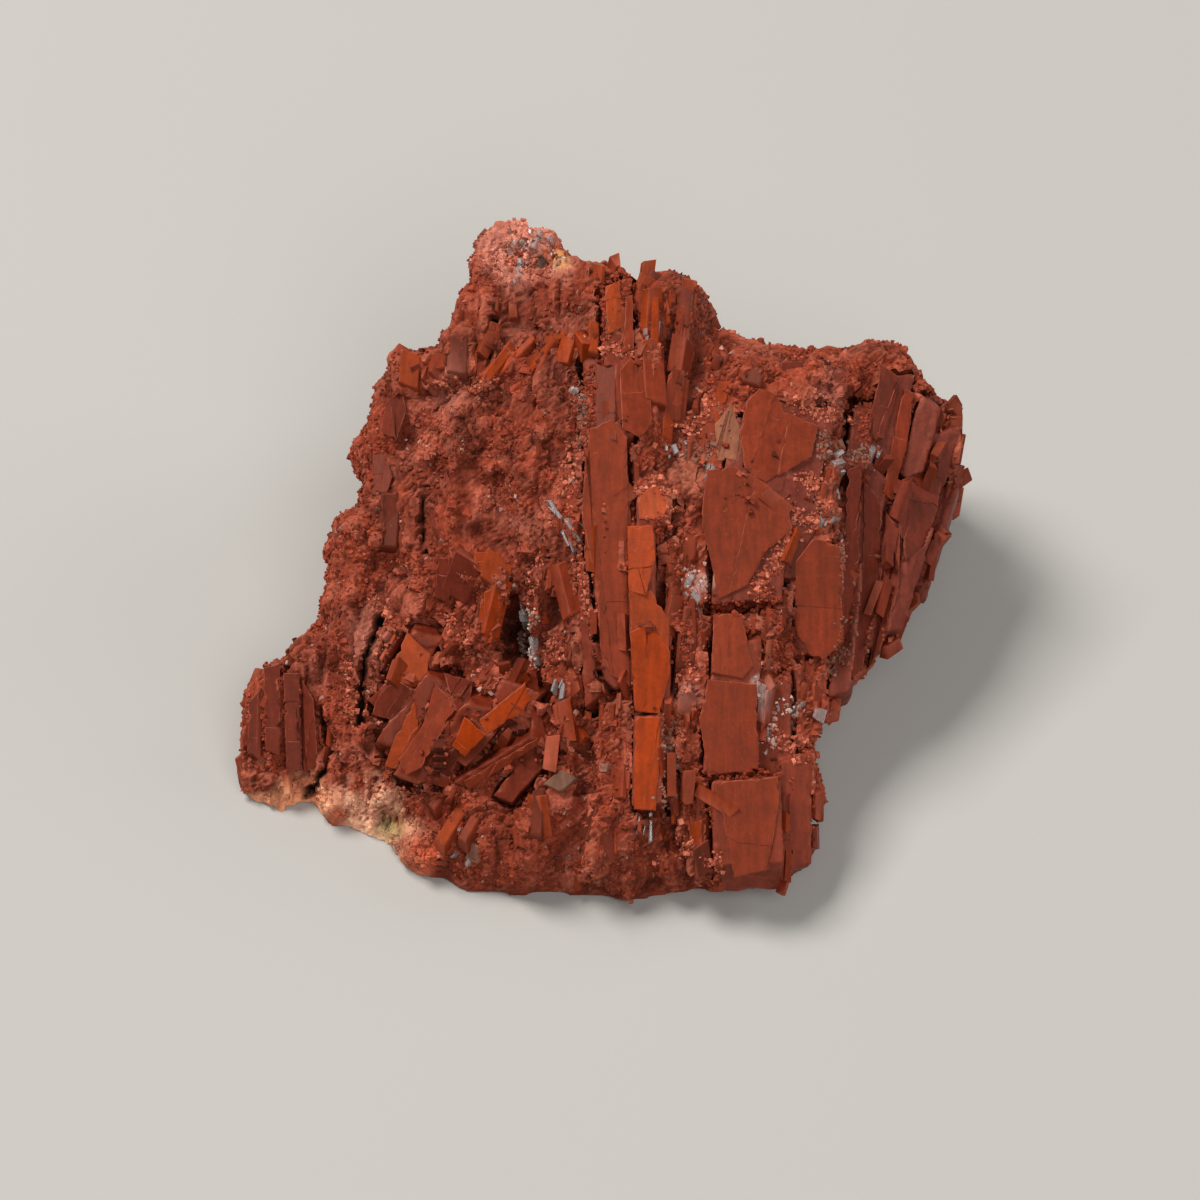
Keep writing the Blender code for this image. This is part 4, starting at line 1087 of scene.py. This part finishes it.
def small_blades(points, normals, name, count, widths, lengths, seed):
    """Many small blades grown over the rock, nearly flush, all joined in one mesh."""
    rng = np.random.default_rng(seed)
    wanted = lambda b: np.clip(b - 0.3, 0, 1) ** 1.5
    places, outs, leans, bladed = seats(points, normals, count, wanted, rng, clear_of_plates=True)
    count = len(places)
    outs = unit(outs + rng.normal(0, 0.1, outs.shape))
    wide = rng.uniform(*widths, count)
    long = wide + rng.uniform(*lengths, count) * (0.4 + 0.6 * bladed)
    lifts = rng.uniform(-0.08, 0.06, count)
    corners = chips(places, outs, leans, long, wide, lifts, rng)
    item = many(name, corners, CHIP_FACES)
    paint_shapes(item, tones(count, rng), rng.uniform(0.4, 1.0, count), corners.shape[1], 0.2)
    return finished(item, "gypsum_centre")


def surface_at(points, normals, places, x, h):
    """The skin's highest place near x, h on the face, and its normal."""
    near = np.flatnonzero(np.hypot(places[:, 0] - x, places[:, 1] - h) < SEAT_REACH)
    top = near[np.argsort(places[near, 2])[-SEAT_POINTS:]]
    return points[top].mean(axis=0), unit(normals[top].mean(axis=0))


def facets(points, normals):
    """The single crystals that are seen in the rock."""
    rng = np.random.default_rng(SEED + 4)
    places = to_face(points)
    seats_at = [surface_at(points, normals, places, row[0], row[1]) for row in FACETS]
    numbers = np.array([row[2:6] for row in FACETS])
    corners = chips(
        np.array([place for place, _ in seats_at]),
        unit(np.array([out for _, out in seats_at]) + rng.normal(0, 0.09, (len(FACETS), 3))),
        np.radians(numbers[:, 2]), numbers[:, 0], numbers[:, 1], numbers[:, 3] - 0.06, rng,
    )
    item = many("single_crystals", corners, CHIP_FACES)
    colours = np.array([row[6] for row in FACETS])
    paint_shapes(item, colours, rng.uniform(0.6, 1.0, len(FACETS)), corners.shape[1], 0.2)
    return finished(item, "gypsum_centre")


BOX_SIGNS = np.array([(x, y, z) for z in (-1, 1) for y in (-1, 1) for x in (-1, 1)], float)
BOX_FACES = ((0, 2, 3, 1), (4, 5, 7, 6), (0, 1, 5, 4), (2, 6, 7, 3), (0, 4, 6, 2), (1, 3, 7, 5))


def lumps(name, places, sizes, rng):
    """Small angular lumps, each a box with its corners pushed about and turned at random, in one mesh."""
    count = len(places)
    corners = BOX_SIGNS[None] * rng.uniform(0.35, 1.0, (count, 8, 3)) * rng.uniform(0.7, 1.3, (count, 1, 3))
    turns = np.linalg.qr(rng.normal(0, 1, (count, 3, 3)))[0]
    turns *= np.linalg.det(turns)[:, None, None]
    shapes = corners @ turns * sizes[:, None, None] + places[:, None, :]
    return many(name, shapes, BOX_FACES), 8


def grains(points, normals, name, count, sizes, seed):
    """Crumbs, small lumps with flat faces: many where the rock is granular, few where it is bladed."""
    rng = np.random.default_rng(seed)
    open_ground = np.flatnonzero(layered_noise(points, 1.4, 3, 57) > CRUMB_PATCHES)
    points = points[open_ground]
    normals = normals[open_ground]
    places, outs, leans, _ = seats(points, normals, count, lambda b: 0.12 + 0.88 * (1 - b) ** 1.3, rng)
    count = len(places)
    size = rng.uniform(*sizes, count) * rng.uniform(0.6, 1.2, count)
    places = places + rng.normal(0, 0.03, places.shape) - outs * size[:, None] * CRUMB_SINK
    item, corner_count = lumps(name, places, size, rng)
    colours = np.tile(GRANULAR, (count, 1)) * rng.uniform(0.65, 1.4, (count, 1))
    draw = rng.random(count)
    colours = mix(colours, PINK, (draw < 0.2) * rng.uniform(0.0, 0.6, count))
    colours = mix(clouded(colours, places), WHITE, (draw > 0.97) * rng.uniform(0.2, 0.8, count))
    paint_shapes(item, colours, np.full(count, 0.3), corner_count)
    return finished(item, "rock")


def band_crumbs(tops):
    """Crumbs along the bands between the crystals, set on whatever surface is highest there."""
    rng = np.random.default_rng(SEED + 8)
    spots = []
    colours = []
    for half, colour, line in BANDS:
        line = np.array(line)
        for start, end in zip(line[:-1], line[1:]):
            run = np.linalg.norm(end - start)
            count = int(BAND_CRUMBS * run * 2 * half)
            along = start + rng.random((count, 1)) * (end - start)
            along += rng.normal(0, half * BAND_SPREAD, (count, 2))
            top = tops[map_cells(along)]
            found = np.column_stack((along, top))[top > LOWEST_BAND]
            clear = ~in_a_plate(found) | (rng.random(len(found)) < ON_PLATES)
            found = found[~cracked(from_face(found)) & clear]
            spots.append(found)
            colours.append(np.tile(colour, (len(found), 1)))
    places = from_face(np.concatenate(spots))
    colours = np.concatenate(colours)
    size = rng.uniform(*BAND_SIZES, len(places)) * rng.uniform(0.5, 1.2, len(places))
    places = places - FACE_AXES[2] * size[:, None] * BAND_SINK
    item, corner_count = lumps("band_crumbs", places, size, rng)
    draw = rng.random(len(places))
    colours = mix(colours, GRANULAR, (draw < 0.5) * rng.uniform(0.5, 1.0, len(places)))
    colours *= rng.uniform(0.6, 1.25, (len(places), 1))
    paint(item.data, np.repeat(colours, corner_count, axis=0), np.full(len(item.data.vertices), 0.4))
    return finished(item, "rock")


def clear_splinters(points, normals):
    """Small see-through splinters, each with a few finer ones beside it."""
    rng = np.random.default_rng(SEED + 3)
    places = to_face(points)
    rows = []
    for x, h, lean, length, width in CLEAR_PLACES:
        place, out = surface_at(points, normals, places, x, h)
        for size, loose in ((1.0, 0.0), (0.6, 0.3), (0.45, 0.35), (0.4, 0.4)):
            shift = (rng.normal(0, loose, 3) * (1, 1, 0)) @ FACE_AXES
            turn = math.radians(lean + rng.normal(0, 30 * loose))
            rows.append((*(place + shift), *out, turn, length * size, width * size))
    rows = np.array(rows)
    outs = unit(rows[:, 3:6] + 0.5 * FACE_AXES[2] + rng.normal(0, 0.1, (len(rows), 3)))
    lifts = np.full(len(rows), 0.1)
    corners = chips(rows[:, :3], outs, rows[:, 6], rows[:, 7], rows[:, 8], lifts, rng)
    return finished(many("clear_splinters", corners, CHIP_FACES), "clear_gypsum")


def nodes_of(name):
    material = bpy.data.materials.new(name)
    material.use_nodes = True
    tree = material.node_tree
    return material, tree, tree.nodes["Principled BSDF"]


def add(tree, kind, **values):
    node = tree.nodes.new(kind)
    for key, value in values.items():
        setattr(node, key, value)
    return node


def fill(node, values):
    for name, value in values.items():
        node.inputs[name].default_value = value


def noise_texture(tree, scale, detail=4.0, roughness=0.6):
    place = add(tree, "ShaderNodeTexCoord")
    texture = add(tree, "ShaderNodeTexNoise")
    tree.links.new(place.outputs["Object"], texture.inputs["Vector"])
    fill(texture, {"Scale": scale, "Detail": detail, "Roughness": roughness})
    return texture.outputs["Fac"]


def ramp(tree, value, stops):
    """Turns a value into another by a straight stretch between two stops of place and grey."""
    made = add(tree, "ShaderNodeValToRGB")
    for element, (place, grey) in zip(made.color_ramp.elements, stops):
        element.position = place
        element.color = (grey, grey, grey, 1.0)
    tree.links.new(value, made.inputs["Fac"])
    return made.outputs["Color"]


def mixed(tree, kind, amount, first, second):
    """A colour mix node; each input is a socket or a constant."""
    node = add(tree, "ShaderNodeMix", data_type="RGBA", blend_type=kind)
    for socket, value in ((node.inputs[0], amount), (node.inputs[6], first), (node.inputs[7], second)):
        if isinstance(value, bpy.types.NodeSocket):
            tree.links.new(value, socket)
        else:
            socket.default_value = value
    return node.outputs[2]


def times_plus(tree, value, factor, more):
    """A value times a constant, plus another value."""
    node = add(tree, "ShaderNodeMath", operation="MULTIPLY_ADD")
    tree.links.new(value, node.inputs[0])
    node.inputs[1].default_value = factor
    tree.links.new(more, node.inputs[2])
    return node.outputs["Value"]


def streaks(tree):
    """Fine streaks that run up the face, as cleavage leaves them."""
    place = add(tree, "ShaderNodeTexCoord")
    turned = add(tree, "ShaderNodeMapping", vector_type="TEXTURE")
    fill(turned, {"Rotation": (math.radians(90) - RISE, 0.0, 0.0), "Scale": (1.0, STREAK_LENGTH, 1.0)})
    texture = add(tree, "ShaderNodeTexNoise")
    fill(texture, {"Scale": 4200.0, "Detail": 3.0})
    tree.links.new(place.outputs["Object"], turned.inputs["Vector"])
    tree.links.new(turned.outputs["Vector"], texture.inputs["Vector"])
    return texture.outputs["Fac"]


def stone_material(name, rough_low, rough_high, grain, bump, streaked):
    """Reads the painted colour and gloss, and adds fine grain, streaks, bump, and pale specks that are both
    dust and painted glints.
    """
    material, tree, shader = nodes_of(name)
    tint = add(tree, "ShaderNodeAttribute", attribute_name="tint")
    gloss = add(tree, "ShaderNodeAttribute", attribute_name="gloss")
    fine = noise_texture(tree, 6500.0, 6.0, 0.7)
    middle = noise_texture(tree, 1500.0, 5.0, 0.65)
    grooves = streaks(tree)
    colour = tint.outputs["Color"]
    for texture, low, change in ((fine, 0.3, grain), (middle, 0.35, MOTTLING), (grooves, 0.3, streaked)):
        shade = ramp(tree, texture, ((low, 0.5 - change), (1 - low, 0.5 + change)))
        colour = mixed(tree, "OVERLAY", 1.0, colour, shade)
    # Pale specks: dust, and painted glints.
    dust_and_glints = ramp(tree, fine, DUST_AND_GLINT_SPECKS)
    colour = mixed(tree, "MIX", dust_and_glints, colour, (*PINK, 1.0))
    tree.links.new(colour, shader.inputs["Base Color"])
    span = add(tree, "ShaderNodeMapRange")
    fill(span, {"To Min": rough_high, "To Max": rough_low})
    tree.links.new(gloss.outputs["Fac"], span.inputs["Value"])
    rough = times_plus(tree, middle, UNEVEN_GLOSS, span.outputs["Result"])
    tree.links.new(rough, shader.inputs["Roughness"])
    relief = add(tree, "ShaderNodeBump")
    fill(relief, {"Strength": bump, "Distance": BUMP_DEPTH})
    tree.links.new(times_plus(tree, grooves, GROOVING * streaked, fine), relief.inputs["Height"])
    tree.links.new(relief.outputs["Normal"], shader.inputs["Normal"])
    fill(shader, {"IOR": GYPSUM_IOR, **STONE_LIGHT})
    return material


def clear_material():
    """Clear gypsum: see-through, a little milky, with a fine uneven gloss."""
    material, tree, shader = nodes_of("clear_gypsum")
    cloud = noise_texture(tree, 2500.0)
    tree.links.new(ramp(tree, cloud, ((0.3, 0.12), (0.7, 0.35))), shader.inputs["Roughness"])
    colour = mixed(tree, "MIX", cloud, (*CLEAR, 1.0), (*MILKY, 1.0))
    tree.links.new(colour, shader.inputs["Base Color"])
    fill(shader, {"IOR": GYPSUM_IOR, "Transmission Weight": 0.75})
    return material


# For each stone: roughness where glossy and where matt, grain, bump and streaks.
MATERIALS = {
    "clear_gypsum": clear_material(),
    "rock": stone_material("granular_rock", 0.5, 0.85, 0.22, 0.7, 0.03),
    "gypsum_centre": stone_material("gypsum_centre", 0.34, 0.65, 0.06, 0.2, 0.09),
    "gypsum_right": stone_material("gypsum_right", 0.36, 0.68, 0.07, 0.25, 0.1),
    "gypsum_lower_right": stone_material("gypsum_lower_right", 0.36, 0.65, 0.06, 0.2, 0.09),
    "gypsum_lower_left": stone_material("gypsum_lower_left", 0.24, 0.6, 0.05, 0.15, 0.06),
}


def camera():
    data = bpy.data.cameras.new("camera")
    data.lens = CAMERA_LENS
    data.sensor_width = SENSOR_WIDTH
    data.clip_start = CLIP_START
    made = in_scene("camera", data)
    made.location = Vector((FACE_ORIGIN + FACE_AXES[2] * CAMERA_DISTANCE) * MM)
    made.rotation_euler = (math.radians(90) - RISE, 0.0, 0.0)
    bpy.context.scene.camera = made


def area_light(name, place, size, power, colour):
    data = bpy.data.lights.new(name, "AREA")
    data.size = size
    data.energy = power
    data.color = colour
    made = in_scene(name, data)
    made.location = place
    made.rotation_euler = Vector(place).to_track_quat("Z", "Y").to_euler()


def studio():
    corners = FLOOR_HALF * np.array(((-1, -1, 0), (1, -1, 0), (1, 1, 0), (-1, 1, 0)))
    floor = new_object("floor", corners, [(0, 1, 2, 3)])
    floor.location.z = -FLOOR_DROP
    material, _, shader = nodes_of("floor")
    fill(shader, {"Base Color": FLOOR_COLOUR, "Roughness": 0.9})
    floor.data.materials.append(material)
    for row in LIGHTS:
        area_light(*row)
    world = bpy.data.worlds.new("world")
    world.use_nodes = True
    fill(world.node_tree.nodes["Background"], {"Color": (*WHITE_LIGHT, 1.0), "Strength": WORLD_POWER})
    bpy.context.scene.world = world


bpy.context.scene.view_settings.view_transform = "Standard"
camera()
studio()
shape = rock_shape()
bodies = []
all_plates = plates_on("rock", shape[1], shape[2])
crystal_faces("rock_crystal_faces", "gypsum_centre", all_plates, SEED + 20)
for node_name, slot_name in CRYSTAL_NODES.items():
    body, found_plates = crystal_piece(node_name, slot_name)
    crystal_faces(node_name + "_faces", slot_name, found_plates, SEED + 21 + len(bodies))
    bodies.append(body)
    all_plates = all_plates + found_plates
crystal_tops = with_plates(top_map(bodies), all_plates)
skin_points, skin_normals = rock_skin(*shape, crystal_tops)
open_rock = uncovered(skin_points, skin_normals, crystal_tops)
for row in SMALL_BLADES:
    small_blades(skin_points[open_rock], skin_normals[open_rock], *row)
for row in CRUMBS:
    grains(skin_points[open_rock], skin_normals[open_rock], *row)
facets(skin_points, skin_normals)
clear_splinters(skin_points, skin_normals)
band_crumbs(np.maximum(crystal_tops, top_map([bpy.data.objects["rock_skin"]])))
